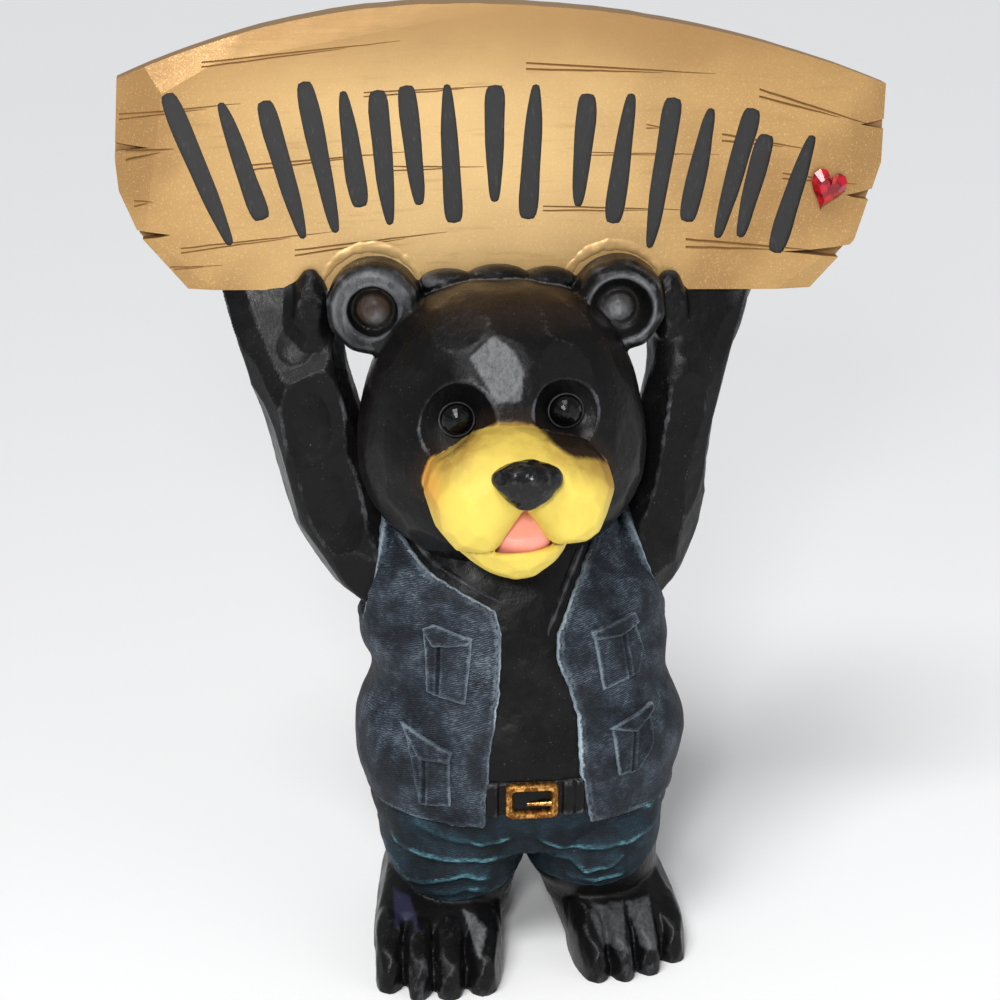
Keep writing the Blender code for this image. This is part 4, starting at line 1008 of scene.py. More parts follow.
vest_patch = dressed.cut(dressed.fields["vest"] + 0.7 * lumps(dressed.points, 4.0, 1.0))
edge = vest_patch.fields["rim"]
rise = VEST_RISE * (0.55 + 0.45 * step(edge - 0.5, 1.6)) + vest_folds(vest_patch.points) * step(edge - 3, 6)
rise += 0.5 * np.exp(-((edge - 1.6) / 1.3) ** 2)
rise = np.maximum(rise, VEST_LEAST_RISE)
vest_plate = vest_patch.plate(rise, 1.2)
vest_plate.fields["worn"] = vest_plate.bend()
x, y, z = vest_plate.points.T
away = ((x - HIGHLIGHT_PLACE[0]) / HIGHLIGHT_REACH[0]) ** 2 + ((z - HIGHLIGHT_PLACE[1]) / HIGHLIGHT_REACH[1]) ** 2
vest_plate.fields["painted_highlight"] = np.exp(-away) * (y < 0)
vest_plate.fields["front"] = np.clip(-(y + 10) / 20, 0, 1)

DENIM = (0.016, 0.023, 0.036)
DENIM_DARK = (0.0045, 0.0060, 0.0100)
DENIM_BRUSH = (0.165, 0.205, 0.245)
DENIM_EDGE = (0.42, 0.52, 0.60)
WEAVE_TURN = (0.0, 0.28, 0.0)


def denim_layers(paint, base, dark, brush):
    """Slate blue with brushed streaks and scratched weave: colour, roughness and relief."""
    inputs = {
        "Vector": paint.place((1, 1, 1), WEAVE_TURN), "Scale": 290.0, "Distortion": 7.0, "Detail": 3.0,
        "Detail Scale": 1.3, "Detail Roughness": 0.62,
    }
    weave = paint.node("TexWave", inputs, wave_type="BANDS", bands_direction="Z").outputs[1]
    clouds = paint.noise(20, 4.0, 0.6)
    streaks = paint.noise(1.7, 5.0, 0.72, (0.55, 0.55, 1.0), WEAVE_TURN)
    colour = paint.blend(paint.between(clouds, 0.36, 0.62), dark, base)
    rub = paint.maths("MULTIPLY_ADD", paint.field("worn"), 0.45, streaks)
    rub = paint.maths("MULTIPLY_ADD", weave, 0.26, rub)
    # The pale brushing covers more under the painted highlight
    cover = paint.maths("MAXIMUM", paint.between(clouds, 0.42, 0.68, 0.14, 0.8), paint.field("painted_highlight"))
    rub = paint.times(paint.between(rub, 0.54, 0.98), cover)
    colour = paint.blend(rub, colour, brush)
    relief = paint.bump(weave, 0.30, 0.75, paint.bump(streaks, 0.25, 0.7))
    return colour, paint.between(streaks, 0.3, 0.7, 0.52, 0.70), relief


paint = Paint("denim_vest_paint", Specular_IOR_Level=0.22)
colour, roughness, relief = denim_layers(paint, DENIM, DENIM_DARK, DENIM_BRUSH)
chips = paint.noise(1.5, 5.0, 0.7)
pale = paint.maths("MULTIPLY_ADD", chips, -3.0, paint.maths("ADD", paint.field("rim"), 1.3))
patches = paint.between(paint.noise(26, 2.0, 0.5), 0.38, 0.60, 0.25, 1.0)
pale = paint.times(paint.between(pale, 0.1, 1.1, 1.0, 0.0), paint.times(paint.field("front"), patches))
colour = paint.blend(pale, colour, DENIM_EDGE)
vest_paint = paint.finish(Base_Color=colour, Roughness=roughness, Normal=relief)
vest_plate.piece("vest", vest_paint)
vest_face = Skin(vest_patch.points, vest_patch.triangles)
vest_face.push(rise)

# Four pockets
# Each is a raised patch with a flap on top, carved with the vest and outlined in pale paint.
# The flap's lower edge hangs over the pocket, and a pleat runs down the middle.

# Outlines as x and z across the front: the pocket, its flap, and the lines of its pleat
POCKETS = (
    (
        ((-43, 190), (-37, 193), (-18, 187), (-20, 170), (-22, 153), (-42, 158)),
        ((-43.5, 192), (-37.5, 195), (-17, 188.5), (-20.5, 184.5), (-38.5, 183.5)),
        ((-35.5, 184), (-36.5, 157)),
    ),
    (
        ((-54, 138), (-31, 127), (-31, 98), (-47, 97)),
        ((-55.5, 140), (-29.5, 128), (-31, 122.5), (-46.5, 122.5)),
        ((-44.5, 123), (-45, 98)),
    ),
    (
        ((47, 188), (70, 193), (76, 176), (73, 163), (52, 158)),
        ((45.5, 189.5), (70.5, 195.5), (72.5, 189.5), (62, 184), (47.5, 184.5)),
        ((64.5, 184), (67.5, 162)),
    ),
    (
        ((56.5, 136), (79, 143), (81, 124), (72, 112), (60, 111)),
        ((54.5, 136.5), (79.5, 145), (80.5, 140.5), (70, 132.5)),
        ((69.5, 133), (68, 113)),
    ),
)
POCKET_RISE = 1.5
FLAP_RISE = 1.6


def finer(skin, value, reach):
    """The part of a skin near where the value is positive, with each triangle split in four."""
    near = (value[skin.triangles] > -reach).any(axis=1)
    used, triangles = np.unique(skin.triangles[near], return_inverse=True)
    triangles = triangles.reshape(-1, 3)
    points = skin.points[used]
    pairs = np.sort(np.vstack([triangles[:, :2], triangles[:, 1:], triangles[:, ::2]]), axis=1)
    edges, place = np.unique(pairs, axis=0, return_inverse=True)
    ab, bc, ac = np.split(place.ravel() + len(points), 3)
    a, b, c = triangles.T
    points = np.vstack([points, points[edges].mean(axis=1)])
    quarters = [(a, ab, ac), (ab, b, bc), (ac, bc, c), (ab, bc, ac)]
    return Skin(points, np.vstack([np.column_stack(quarter) for quarter in quarters]))


def pocket_plate(outline, base, rise, uneven, size, seed, pleat=()):
    """A plate on the vest's face within an outline, with a bead round its rim, and a pleat if any."""
    local = finer(vest_face, polygon_distance(vest_face.points, outline), 3)
    patch = local.cut(polygon_distance(local.points, outline) + 0.3 * lumps(local.points, 3.0, seed))
    edge = patch.fields["rim"]
    height = base + rise * (0.6 + 0.4 * step(edge - 0.5, 1.4)) + uneven * lumps(patch.points, size)
    height += 0.5 * np.exp(-((edge - 1.0) / 0.7) ** 2)
    if pleat:
        fold = line_distance(patch.points[:, 0], patch.points[:, 2], pleat)
        height -= 0.9 * np.exp(-(fold / 0.7) ** 2)
        height += 0.5 * np.exp(-((fold - 1.6) / 0.8) ** 2)
    return patch.plate(np.maximum(height, 0.3), 1.0)


def make_pockets():
    """The four pockets and their flaps as plates on the vest's face."""
    plates = []
    for outline, flap, pleat in POCKETS:
        plates.append(pocket_plate(outline, 0, POCKET_RISE, 0.45, 6.0, 2.0, pleat))
        plates.append(pocket_plate(flap, POCKET_RISE, FLAP_RISE, 0.4, 5.0, 6.0))
    starts = np.cumsum([0] + [len(plate.points) for plate in plates])
    points = np.vstack([plate.points for plate in plates])
    triangles = np.vstack([plate.triangles + start for plate, start in zip(plates, starts)])
    return Skin(points, triangles, {"rim": np.concatenate([plate.fields["rim"] for plate in plates])})


pockets = make_pockets()
pockets.fields["worn"] = pockets.bend()
pockets.fields["front"] = np.full(len(pockets.points), 0.30)
pockets.piece("vest_pockets", vest_paint)

# Lining of the vest's neck
# A thin black ridge that runs beside the neck edges of the vest, rubbed grey along its top.

LINING_GAP = 3.2
LINING_WIDTH = 3.4
LINING_RISE = 2.2


def lining_band(p, part, vest):
    """Positive on a narrow band beside the vest's neck edges, tapering out down the front."""
    x, y, z = p.T
    taper = np.clip((z - np.where(x > 10, 186, 203)) / 12, 0, 1)
    band = LINING_WIDTH / 2 * taper - np.abs(vest + LINING_GAP + LINING_WIDTH / 2)
    return np.where((y < -8) & (part == TRUNK) & (taper > 0), band, -9)


lining_area = finer(dressed, lining_band(dressed.points, labels, dressed.fields["vest"]), 4)
area_labels = whole.labels_at(lining_area.points)
area_vest = vest_distance(lining_area.points, area_labels)
lining_patch = lining_area.cut(lining_band(lining_area.points, area_labels, area_vest))
rise = LINING_RISE * (0.2 + 0.8 * step(lining_patch.fields["rim"] - 0.6, 1.6))
lining = lining_patch.plate(rise + 0.2 * lumps(lining_patch.points, 4.0), 1.0)
lining.fields = {"worn": lining.bend() * 0.8 + 0.5}
lining.piece("vest_lining", fur)

# Belt and buckle
# A black leather belt carved round the waist, with bulging loops, and a plain antique gold buckle:
# a bevelled frame with one short prong.

BELT = (92, 111)
BELT_RISE = 1.8
BELT_LOOPS = ((-9.0, 3.6), (32.0, 3.2), (38.0, 2.8))

BELT_LAP = 2.5


def belt_band(p, vest):
    """Positive on the belt: between its two heights, across the front, as far as the vest's edges."""
    _, y, z = p.T
    return np.minimum.reduce([z - BELT[0], BELT[1] - z, BELT_LAP - vest, np.where(y < 0, 9, -9)])


belt_area = finer(dressed, belt_band(dressed.points, dressed.fields["vest"]), 3)
belt_vest = vest_distance(belt_area.points, whole.labels_at(belt_area.points))
belt_patch = belt_area.cut(belt_band(belt_area.points, belt_vest))
edge = belt_patch.fields["rim"]
x = belt_patch.points[:, 0]
height = BELT_RISE * (0.5 + 0.5 * step(edge - 0.6, 1.6))
for centre, half_width in BELT_LOOPS:
    height += 2.2 * np.sqrt(np.clip(1 - ((x - centre) / half_width) ** 2, 0, 1))
height += 0.3 * lumps(belt_patch.points, 3.5, 1.0)
belt = belt_patch.plate(height, 1.0)
belt.fields = {"worn": belt.bend()}
belt.piece("belt", fur)

BUCKLE = (12.3, -73.4, 101.0)
BUCKLE_SIZE = (29.0, 20.5)
BUCKLE_BAR = 4.7
BUCKLE_DEPTH = 4.6


def rounded_rectangle(width, height, corner):
    points = []
    for sx, sz, start in ((1, 1, 0), (-1, 1, 90), (-1, -1, 180), (1, -1, 270)):
        for turn in np.linspace(0, 90, 6):
            angle = math.radians(start + turn)
            x = sx * (width / 2 - corner) + corner * math.cos(angle)
            z = sz * (height / 2 - corner) + corner * math.sin(angle)
            points.append((x, z))
    return points


def make_buckle():
    """A lathe-like run of rounded rectangles: outer wall, bevels, face, inner bevel and wall."""
    width, height = BUCKLE_SIZE
    profile = (
        (0.0, 0.0, 3.6), (0.0, -0.58, 3.6), (-0.9, -0.90, 3.0), (-2.0, -1.0, 2.6), (-3.4, -0.98, 2.2),
        (-4.4, -0.72, 1.8), (-BUCKLE_BAR, -0.35, 1.6), (-BUCKLE_BAR, 0.0, 1.6),
    )
    rows = []
    for grow, depth, corner in profile:
        outline = rounded_rectangle(width + 2 * grow, height + 2 * grow, corner)
        rows.append([(x, depth * BUCKLE_DEPTH, z) for x, z in outline])
    size = len(rows[0])
    points = np.array([point for row in rows for point in row])
    triangles = []
    for r in range(len(rows)):
        low, high = r * size, ((r + 1) % len(rows)) * size
        for i in range(size):
            j = (i + 1) % size
            triangles += [(low + i, low + j, high + j), (low + i, high + j, high + i)]
    return points, np.array(triangles)


def make_prong(start):
    """A short tapered pin from the frame's right bar."""
    rings = []
    for t in np.linspace(0, 1, 9):
        centre = (10.5 - 13 * t, -0.72 * BUCKLE_DEPTH + 1.5 * t, -1.2 - 0.6 * t)
        rings.append(ring(centre, UP, DEEP, 1.5 - 0.5 * t, 1.3 - 0.4 * t, 2.4, 14))
    prong = BlockOut()
    prong.loft(rings, TRUNK)
    triangles = []
    for face in prong.faces:
        triangles += [(face[0], face[k], face[k + 1]) for k in range(1, len(face) - 1)]
    return np.array(prong.points), np.array(triangles) + start


buckle_points, buckle_triangles = make_buckle()
prong_points, prong_triangles = make_prong(len(buckle_points))
buckle = Skin(
    np.vstack([buckle_points, prong_points]) + np.array(BUCKLE),
    np.vstack([buckle_triangles, prong_triangles]),
)
loose = bmesh.new()
mesh = bpy.data.meshes.new("buckle_loose")
mesh.from_pydata(buckle.points.tolist(), [], buckle.triangles.tolist())
loose.from_mesh(mesh)
bmesh.ops.recalc_face_normals(loose, faces=loose.faces)
buckle.triangles = np.array([[vertex.index for vertex in face.verts] for face in loose.faces])
loose.free()
paint = Paint("antique_gold_buckle", Metallic=0.9)
tones = ((0.16, 0.060, 0.012), (0.74, 0.38, 0.10))
tarnish = paint.noise(3.0, 4.0, 0.65)
buckle.piece("belt_buckle", paint.mottled(tarnish, (0.42, 0.66), tones, (0.42, 0.22), 0.2))

# The jeans
# Carved cloth from the belt to the ankles, in teal over black, with drooping folds whose crests are
# streaked in cyan. The hem is a ragged edge over the feet.

HEM = (
    (-80, 50), (-63, 47), (-50, 39), (-36, 36), (-18, 38), (-3, 41), (8, 46), (14, 48), (20, 45), (36, 43),
    (52, 42), (68, 46), (83, 56), (100, 60),
)
BACK_HEM = 46
# Crests of the folds across the front, as x and z, with the rise of each
JEANS_FOLDS = (
    (((-69, 74), (-60, 57), (-51, 47), (-43, 48), (-26, 54), (-5, 50)), 3.4),
    (((-64, 72), (-51, 66), (-26, 63), (-3, 62), (8, 68)), 2.4),
    (((-52, 86), (-34, 77), (-14, 72), (6, 80)), 2.0),
    (((12, 82), (28, 70), (47, 67), (68, 69), (88, 76)), 2.6),
    (((19, 64), (36, 61), (44, 53), (56, 56), (68, 63)), 3.2),
    (((30, 52), (48, 46), (70, 52)), 1.4),
    (((-46, 41), (-26, 44), (-8, 44)), 1.2),
    (((60, 88), (78, 84), (94, 90)), 1.8),
)
FOLD_END = 9.0


def jeans_value(p, labels):
    x, y, z = p.T
    hem = height_at(x, HEM)
    hem = hem + (BACK_HEM - hem) * np.clip((y + 30) / 40, 0, 1)
    value = np.minimum(BELT[0] + 1.5 - z, z - hem)
    return np.where((labels == LEG) | (labels == TRUNK), value, -np.maximum(hem - z, 1))


def jeans_folds(p):
    """Drooping folds, steep below their crests, and how near each point lies to a crest."""
    x, y, z = p.T
    front = np.clip(-(y - 6) / 22, 0, 1)
    wander = 1.2 * lumps(p, 9.0, 5.0)
    total = np.zeros(len(p))
    crests = np.zeros(len(p))
    for line, rise in JEANS_FOLDS:
        crest = height_at(x, line)
        distance = line_distance(x, z + wander, line)
        ends = np.minimum(*(np.hypot(x - line[k][0], z - line[k][1]) for k in (0, -1)))
        fade = np.clip(ends / FOLD_END, 0, 1)
        above = z + wander > crest
        total = np.maximum(total, fade * rise * np.exp(-(distance / np.where(above, 6.5, 1.9)) ** 2))
        crests = np.maximum(crests, fade * np.exp(-(distance / np.where(above, 2.8, 1.1)) ** 2))
    bunching = 0.5 + 0.5 * np.sin(0.42 * z + 0.06 * np.abs(x - 12) + 1.5 * lumps(p, 22.0, 6.0))
    return front * total + (1 - front) * 2.2 * bunching, crests * front


jeans_patch = dressed.cut(jeans_value(dressed.points, labels) + 0.8 * lumps(dressed.points, 5.0, 8.0))
edge = jeans_patch.fields["rim"]
folds, crests = jeans_folds(jeans_patch.points)
rise = 1.0 + 0.5 * step(edge - 0.6, 1.8) + folds * step(edge - 1, 3)
rise += 0.5 * lumps(jeans_patch.points, 9.0, 3.0)
jeans = jeans_patch.plate(np.maximum(rise, 0.5), 1.2)
jeans.fields["worn"] = jeans.bend()
jeans.fields["fold"] = np.tile(crests, 2)

JEANS = (0.0055, 0.013, 0.021)
JEANS_DARK = (0.0025, 0.0050, 0.0075)
JEANS_BRUSH = (0.024, 0.064, 0.090)
JEANS_WASH = (0.024, 0.100, 0.135)
CYAN = (0.120, 0.300, 0.360)

paint = Paint("jeans_paint", Specular_IOR_Level=0.22)
colour, roughness, relief = denim_layers(paint, JEANS, JEANS_DARK, JEANS_BRUSH)
hairs = paint.noise(1.4, 5.0, 0.7, (0.45, 0.45, 1.0), (0.0, 0.2, 0.0))
patches = paint.between(paint.noise(17, 2.0, 0.5), 0.40, 0.62, 0.08, 0.9)
crest = paint.maths("MULTIPLY_ADD", hairs, 1.7, paint.maths("ADD", paint.field("fold"), -0.95))
crest = paint.times(paint.between(crest, 0.35, 1.15), patches)
colour = paint.blend(crest, colour, CYAN)
washes = paint.between(paint.noise(15, 2.0, 0.5), 0.50, 0.68, 0.0, 0.75)
wash = paint.times(paint.between(hairs, 0.50, 0.80), washes)
colour = paint.blend(wash, colour, JEANS_WASH)
jeans.piece("jeans", paint.finish(Base_Color=colour, Roughness=roughness, Normal=relief))

# Stitches of the vest
# Short pricked marks that follow the front edges, pressed in the wet casting. They are made as small dark
# nubs, whose colour is the painted shade inside the pits.

STITCH_INSET = 2.7
STITCH_PITCH = 4.7
STITCH_LENGTH = 1.9
STITCH_WIDTH = 0.62


def edge_path(line, side, tree):
    """Points on the vest's face beside a front edge, from the hem to the neck."""
    samples = through([(px, pz, 0) for px, pz in line], 90)[:, :2]
    along = np.gradient(samples, axis=0)
    along /= np.linalg.norm(along, axis=1)[:, None]
    inset = samples + side * STITCH_INSET * np.column_stack([along[:, 1], -along[:, 0]])
    path = []
    for px, pz in inset:
        hit = tree.ray_cast(Vector((px, -140, pz)), Vector((0, 1, 0)))
        if hit[0] is not None and 88 < pz < 244:
            path.append(hit[0])
    return path


def stitch_tree(name, material):
    """Marks strung along a path: named inputs for the pitch, the length and the width."""
    tree = bpy.data.node_groups.new(name, "GeometryNodeTree")
    tree.interface.new_socket("Path", in_out="INPUT", socket_type="NodeSocketGeometry")
    for label, value in (("Pitch", STITCH_PITCH), ("Length", STITCH_LENGTH), ("Width", STITCH_WIDTH)):
        socket = tree.interface.new_socket(label, in_out="INPUT", socket_type="NodeSocketFloat")
        socket.default_value = value * SHARE
    tree.interface.new_socket("Geometry", in_out="OUTPUT", socket_type="NodeSocketGeometry")
    entry = tree.nodes.new("NodeGroupInput").outputs
    inputs = {"Curve": entry["Path"], "Length": entry["Pitch"]}
    spaced = add_node(tree, "GeometryNodeResampleCurve", inputs, mode="LENGTH")
    mark = add_node(tree, "GeometryNodeMeshUVSphere", {"Segments": 8, "Rings": 6, "Radius": 0.5})
    size = add_node(tree, "ShaderNodeCombineXYZ", {0: entry["Width"], 1: entry["Width"], 2: entry["Length"]})
    inputs = {"Geometry": mark.outputs["Mesh"], "Scale": size.outputs[0]}
    shaped = add_node(tree, "GeometryNodeTransform", inputs)
    tangent = add_node(tree, "GeometryNodeInputTangent", {})
    turn = add_node(tree, "FunctionNodeAlignRotationToVector", {"Vector": tangent.outputs[0]}, axis="Z")
    inputs = {0: (0.7, 0.7, 0.55), 1: (1.5, 1.5, 1.25), "Seed": 4}
    wobble = add_node(tree, "FunctionNodeRandomValue", inputs, data_type="FLOAT_VECTOR")
    inputs = {"Points": spaced, "Instance": shaped, "Rotation": turn, "Scale": wobble}
    inputs = {name: node.outputs[0] for name, node in inputs.items()}
    strung = add_node(tree, "GeometryNodeInstanceOnPoints", inputs)
    real = add_node(tree, "GeometryNodeRealizeInstances", {0: strung.outputs[0]})
    inputs = {"Geometry": real.outputs[0], "Material": material}
    finish = add_node(tree, "GeometryNodeSetMaterial", inputs)
    add_node(tree, "NodeGroupOutput", {0: finish.outputs[0]})
    return tree


def make_stitches(material):
    face = BVHTree.FromPolygons(vest_face.points.tolist(), vest_face.triangles.tolist())
    curve = bpy.data.curves.new("stitch_path", "CURVE")
    curve.dimensions = "3D"
    for line, side in ((LEFT_FRONT_EDGE, -1), (RIGHT_FRONT_EDGE, 1)):
        path = edge_path(line, side, face)
        spline = curve.splines.new("POLY")
        spline.points.add(len(path) - 1)
        for point, place in zip(spline.points, path):
            point.co = (*(np.array(place) * SHARE + SHIFT), 1.0)
    item = link(bpy.data.objects.new("vest_stitches_path", curve))
    item.modifiers.new("Stitches", "NODES").node_group = stitch_tree("stitch_row", material)
    bpy.context.view_layer.update()
    mesh = evaluated(item)
    bpy.data.objects.remove(item)
    mesh.name = "vest_stitches"
    add_to_casting(link(bpy.data.objects.new("vest_stitches", mesh)))


# Dark paint standing in for the shade inside the pricked pits
paint = Paint("stitch_pit_shade")
tones = ((0.006, 0.008, 0.013), (0.020, 0.026, 0.040))
make_stitches(paint.mottled(paint.noise(1.0), (0.3, 0.7), tones, (0.6, 0.8)))

# The board
# A thick arched plank cast with the figure, planed into facets, split along the grain and painted
# old gold. The marks across it are shallow gouges painted black, and they aren't letters.

BOARD_LENGTH = 408.0
BOARD_FOOT_LENGTH = 337.0
BOARD_END_HEIGHT = 111.0
BOARD_ARCH_RISE = 41.0
BOARD_ARCH_APEX = -20.0
BOARD_ARCH_POWER = 2.1
BOARD_THICKNESS = 22.0
BOARD_LEAN = math.radians(1.3)
# How much of the end height lies below the board's middle, and how far it reaches below the palms
BOARD_FOOT_SHARE = 0.68
PALM_LAP = 5.5
BOARD_FOOT = 0.5 * (LEFT_ARM[-1][2] + RIGHT_ARM[-1][2]) - PALM_LAP
BOARD_MIDDLE = (8.0, 12.0, BOARD_FOOT + BOARD_FOOT_SHARE * BOARD_END_HEIGHT)
ARCH_POINTS = 44
# Rows of marks: middle x and z and height in shares of the end height, lean in degrees, count and pitch
STROKE_GROUPS = (
    (-1.26, -0.06, 0.78, -19, 3, 0.20), (-0.74, 0.00, 0.74, -9, 3, 0.15), (-0.36, 0.02, 0.76, -4, 2, 0.18),
    (0.03, 0.03, 0.74, 2, 2, 0.18), (0.46, 0.00, 0.72, 6, 2, 0.19), (0.93, -0.07, 0.74, 10, 3, 0.18),
    (1.30, -0.17, 0.68, 15, 2, 0.20),
)
STROKE_DEPTH = 1.6
STROKE_WIDTH = 13.0
# Splits along the grain, as x and z of the start and the end about the board's middle, and the width
SPLITS = (
    ((-160, 45), (-57, 57), 1.0),
    ((-203, 17), (-140, 24), 1.1),
    ((-200, -2), (-175, 0), 2.0),
    ((-76, 30), (-3, 34), 0.9),
    ((-141, -9), (-52, -1), 1.1),
    ((-60, -9), (-12, -9), 0.9),
    ((-172, -53), (-92, -44), 1.0),
    ((-112, -54), (-31, -44), 1.2),
    ((9, 46), (110, 41), 1.3),
    ((74, 14), (84, 12), 0.8),
    ((115, 9), (162, 1), 1.4),
    ((134, 33), (196, 14), 1.6),
    ((149, -12), (190, -18), 1.2),
    ((20, -30), (100, -32), 1.0),
    ((98, -48), (168, -54), 1.8),
    ((40, -1), (114, -2), 0.6),
    ((-196, -28), (-186, -28), 1.2),
    ((-188, -64), (-150, -62), 0.8),
)
# Notches where splits run out of the ends: place, length inward, half height at the end
END_NOTCHES = (
    ((-205, 0), 18, 2.6),
    ((-187, -46), 10, 2.2),
    ((204, 14), 14, 3.2),
    ((196, -24), 12, 3.2),
    ((180, -55), 30, 2.8),
)
board_matrix = Matrix.Translation(BOARD_MIDDLE) @ Matrix.Rotation(BOARD_LEAN, 4, "Y")


def board_outline():
    """The board's front outline about its middle: straight foot, slanted ends, arched top."""
    half = BOARD_LENGTH / 2
    foot_half = BOARD_FOOT_LENGTH / 2
    foot = -BOARD_END_HEIGHT * BOARD_FOOT_SHARE
    shoulder = foot + BOARD_END_HEIGHT
    elbow = foot + BOARD_END_HEIGHT * 0.62
    slant = half - foot_half
    right = [(foot_half, foot), (half - 0.38 * slant, foot + BOARD_END_HEIGHT * 0.24)]
    right += [(half, elbow), (half, shoulder)]
    left = [(-half, shoulder), (-half - 0.05 * slant, elbow), (-half, foot + BOARD_END_HEIGHT * 0.47)]
    left += [(-half + 0.30 * slant, foot + BOARD_END_HEIGHT * 0.26), (-foot_half, foot)]
    arch = []
    for i in range(1, ARCH_POINTS):
        x = half - BOARD_LENGTH * i / ARCH_POINTS
        away = x - BOARD_ARCH_APEX
        reach = half - math.copysign(1, away) * BOARD_ARCH_APEX
        wobble = 0.5 * noise.noise(Vector((x / 14, 3.0, 0.0)))
        rise = BOARD_ARCH_RISE * (1 - (abs(away) / reach) ** BOARD_ARCH_POWER)
        arch.append((x, shoulder + rise + wobble))
    return right + arch + left


def extrude_outline(outline, near, far):
    """A closed prism of an x and z outline between two depths."""
    edit = bmesh.new()
    face = edit.faces.new([edit.verts.new((x, near, z)) for x, z in outline])
    push = bmesh.ops.extrude_face_region(edit, geom=[face])
    moved = [part for part in push["geom"] if isinstance(part, bmesh.types.BMVert)]
    bmesh.ops.translate(edit, verts=moved, vec=(0, far - near, 0))
    bmesh.ops.recalc_face_normals(edit, faces=edit.faces)
    return edit


def board_facets():
    """Chisel planes along the board's edges: a point on the front edge and an outward slope."""
    half = BOARD_LENGTH / 2
    top = BOARD_END_HEIGHT * (1 - BOARD_FOOT_SHARE) + BOARD_ARCH_RISE
    foot = -BOARD_END_HEIGHT * BOARD_FOOT_SHARE
    return (
        ((-0.55 * half, 0, 0.90 * top), (-0.10, -1, 0.17)),
        ((0.42 * half, 0, 0.90 * top), (0.06, -1, 0.20)),
        ((0.72 * half, 0, 0.70 * top), (0.16, -1, 0.26)),
        ((-0.90 * half, 0, 0.10 * top), (-0.30, -1, 0.04)),
        ((0.91 * half, 0, 0.10 * top), (0.32, -1, 0.02)),
        ((0.78 * half, 0, 0.90 * foot), (0.22, -1, -0.30)),
        ((-0.80 * half, 0, 0.90 * foot), (-0.24, -1, -0.28)),
        ((-0.10 * half, 0, 0.93 * top), (-0.02, -1, 0.10)),
        ((0.55 * half, 21.5, 0.70 * top), (0.10, 1, 0.24)),
        ((-0.60 * half, 21.5, 0.75 * top), (-0.12, 1, 0.24)),
        ((-0.80 * half, 21.0, 0.60 * foot), (-0.24, 1, -0.22)),
        ((0.80 * half, 21.0, 0.60 * foot), (0.22, 1, -0.22)),
    )


def stroke_outline(x, z, height, lean, heavy_end):
    """A tapered gouge: full at one end and narrower at the other."""
    turn = math.radians(lean)
    points = []
    for angle in np.linspace(0, 2 * math.pi, 28, endpoint=False):
        along = math.cos(angle)
        taper = 0.76 + 0.24 * along * heavy_end
        across = math.copysign(abs(math.sin(angle)) ** 0.45, math.sin(angle)) * STROKE_WIDTH / 2 * taper
        across += 0.7 * noise.noise(Vector((x / 9, along * 1.7, math.copysign(2, math.sin(angle)))))
        up = math.copysign(abs(along) ** 0.8, along) * height / 2
        points.append((
            x + across * math.cos(turn) + up * math.sin(turn),
            z - across * math.sin(turn) + up * math.cos(turn),
        ))
    return points


def gather(prisms):
    """Several prisms as one mesh of separate bodies."""
    joined = bmesh.new()
    for prism in prisms:
        mesh = bpy.data.meshes.new("cutter")
        prism.to_mesh(mesh)
        prism.free()
        joined.from_mesh(mesh)
        bpy.data.meshes.remove(mesh)
    return joined


def stroke_cutters():
    prisms = []
    for x, z, height, lean, count, pitch in STROKE_GROUPS:
        for i in range(count):
            offset = (i - (count - 1) / 2) * pitch
            shorter = 1 - 0.12 * ((i * 2 + count) % 3)
            drop = 0.04 * ((i + count) % 2)
            outline = stroke_outline(
                (x + offset) * BOARD_END_HEIGHT, (z - drop) * BOARD_END_HEIGHT,
                height * shorter * BOARD_END_HEIGHT, lean + 3 * (i - 1), -1 if i % 2 else 1,
            )
            prisms.append(extrude_outline(outline, -10, STROKE_DEPTH))
    return gather(prisms)


def notch_cutters():
    prisms = []
    for (x, z), length, half_height in END_NOTCHES:
        inward = -1 if x > 0 else 1
        outline = [
            (x - inward * 14, z + 1.6 * half_height), (x - inward * 14, z - 1.6 * half_height),
            (x + inward * 0.45 * length, z - 0.45 * half_height), (x + inward * length, z + 0.3),
            (x + inward * 0.45 * length, z + 0.45 * half_height),
        ]
        prisms.append(extrude_outline(outline, -10, 9))
    return gather(prisms)


def split_cutters(board):
    """Wedges that open the face along each split: deepest near the start, fading to the end."""
    tree = BVHTree.FromBMesh(board)
    wedges = bmesh.new()
    for (ax, az), (bx, bz), width in SPLITS:
        for drop, reach in ((0.0, 1.0), (2.4 * width, 0.72)):
            rows = []
            for t in np.linspace(0, reach, 12):
                x, z = ax + (bx - ax) * t, az + (bz - az) * t - drop * (1 - t)
                hit = tree.ray_cast(Vector((x, -40, z)), Vector((0, 1, 0)))
                surface = hit[0].y if hit[0] is not None else 0.0
                share = t / reach
                swell = math.sin(math.pi * min(0.30 + 0.70 * share, 1.0)) ** 0.8
                gap = 0.8 * width * (0.12 + 0.88 * swell)
                z += 0.35 * noise.noise(Vector((x / 9, az, drop)))
                corners = ((-1.5, 0.5 * gap + 1.0), (-1.5, -0.5 * gap - 1.0), (0.85 * gap + 0.15, 0))
                rows.append([(x, surface + deep, z + up) for deep, up in corners])
            verts = [[wedges.verts.new(place) for place in row] for row in rows]
            for low, high in zip(verts, verts[1:]):
                for i in range(3):
                    j = (i + 1) % 3
                    wedges.faces.new((low[i], low[j], high[j], high[i]))
            wedges.faces.new(verts[0][::-1])
            wedges.faces.new(verts[-1])
    bmesh.ops.recalc_face_normals(wedges, faces=wedges.faces)
    return wedges


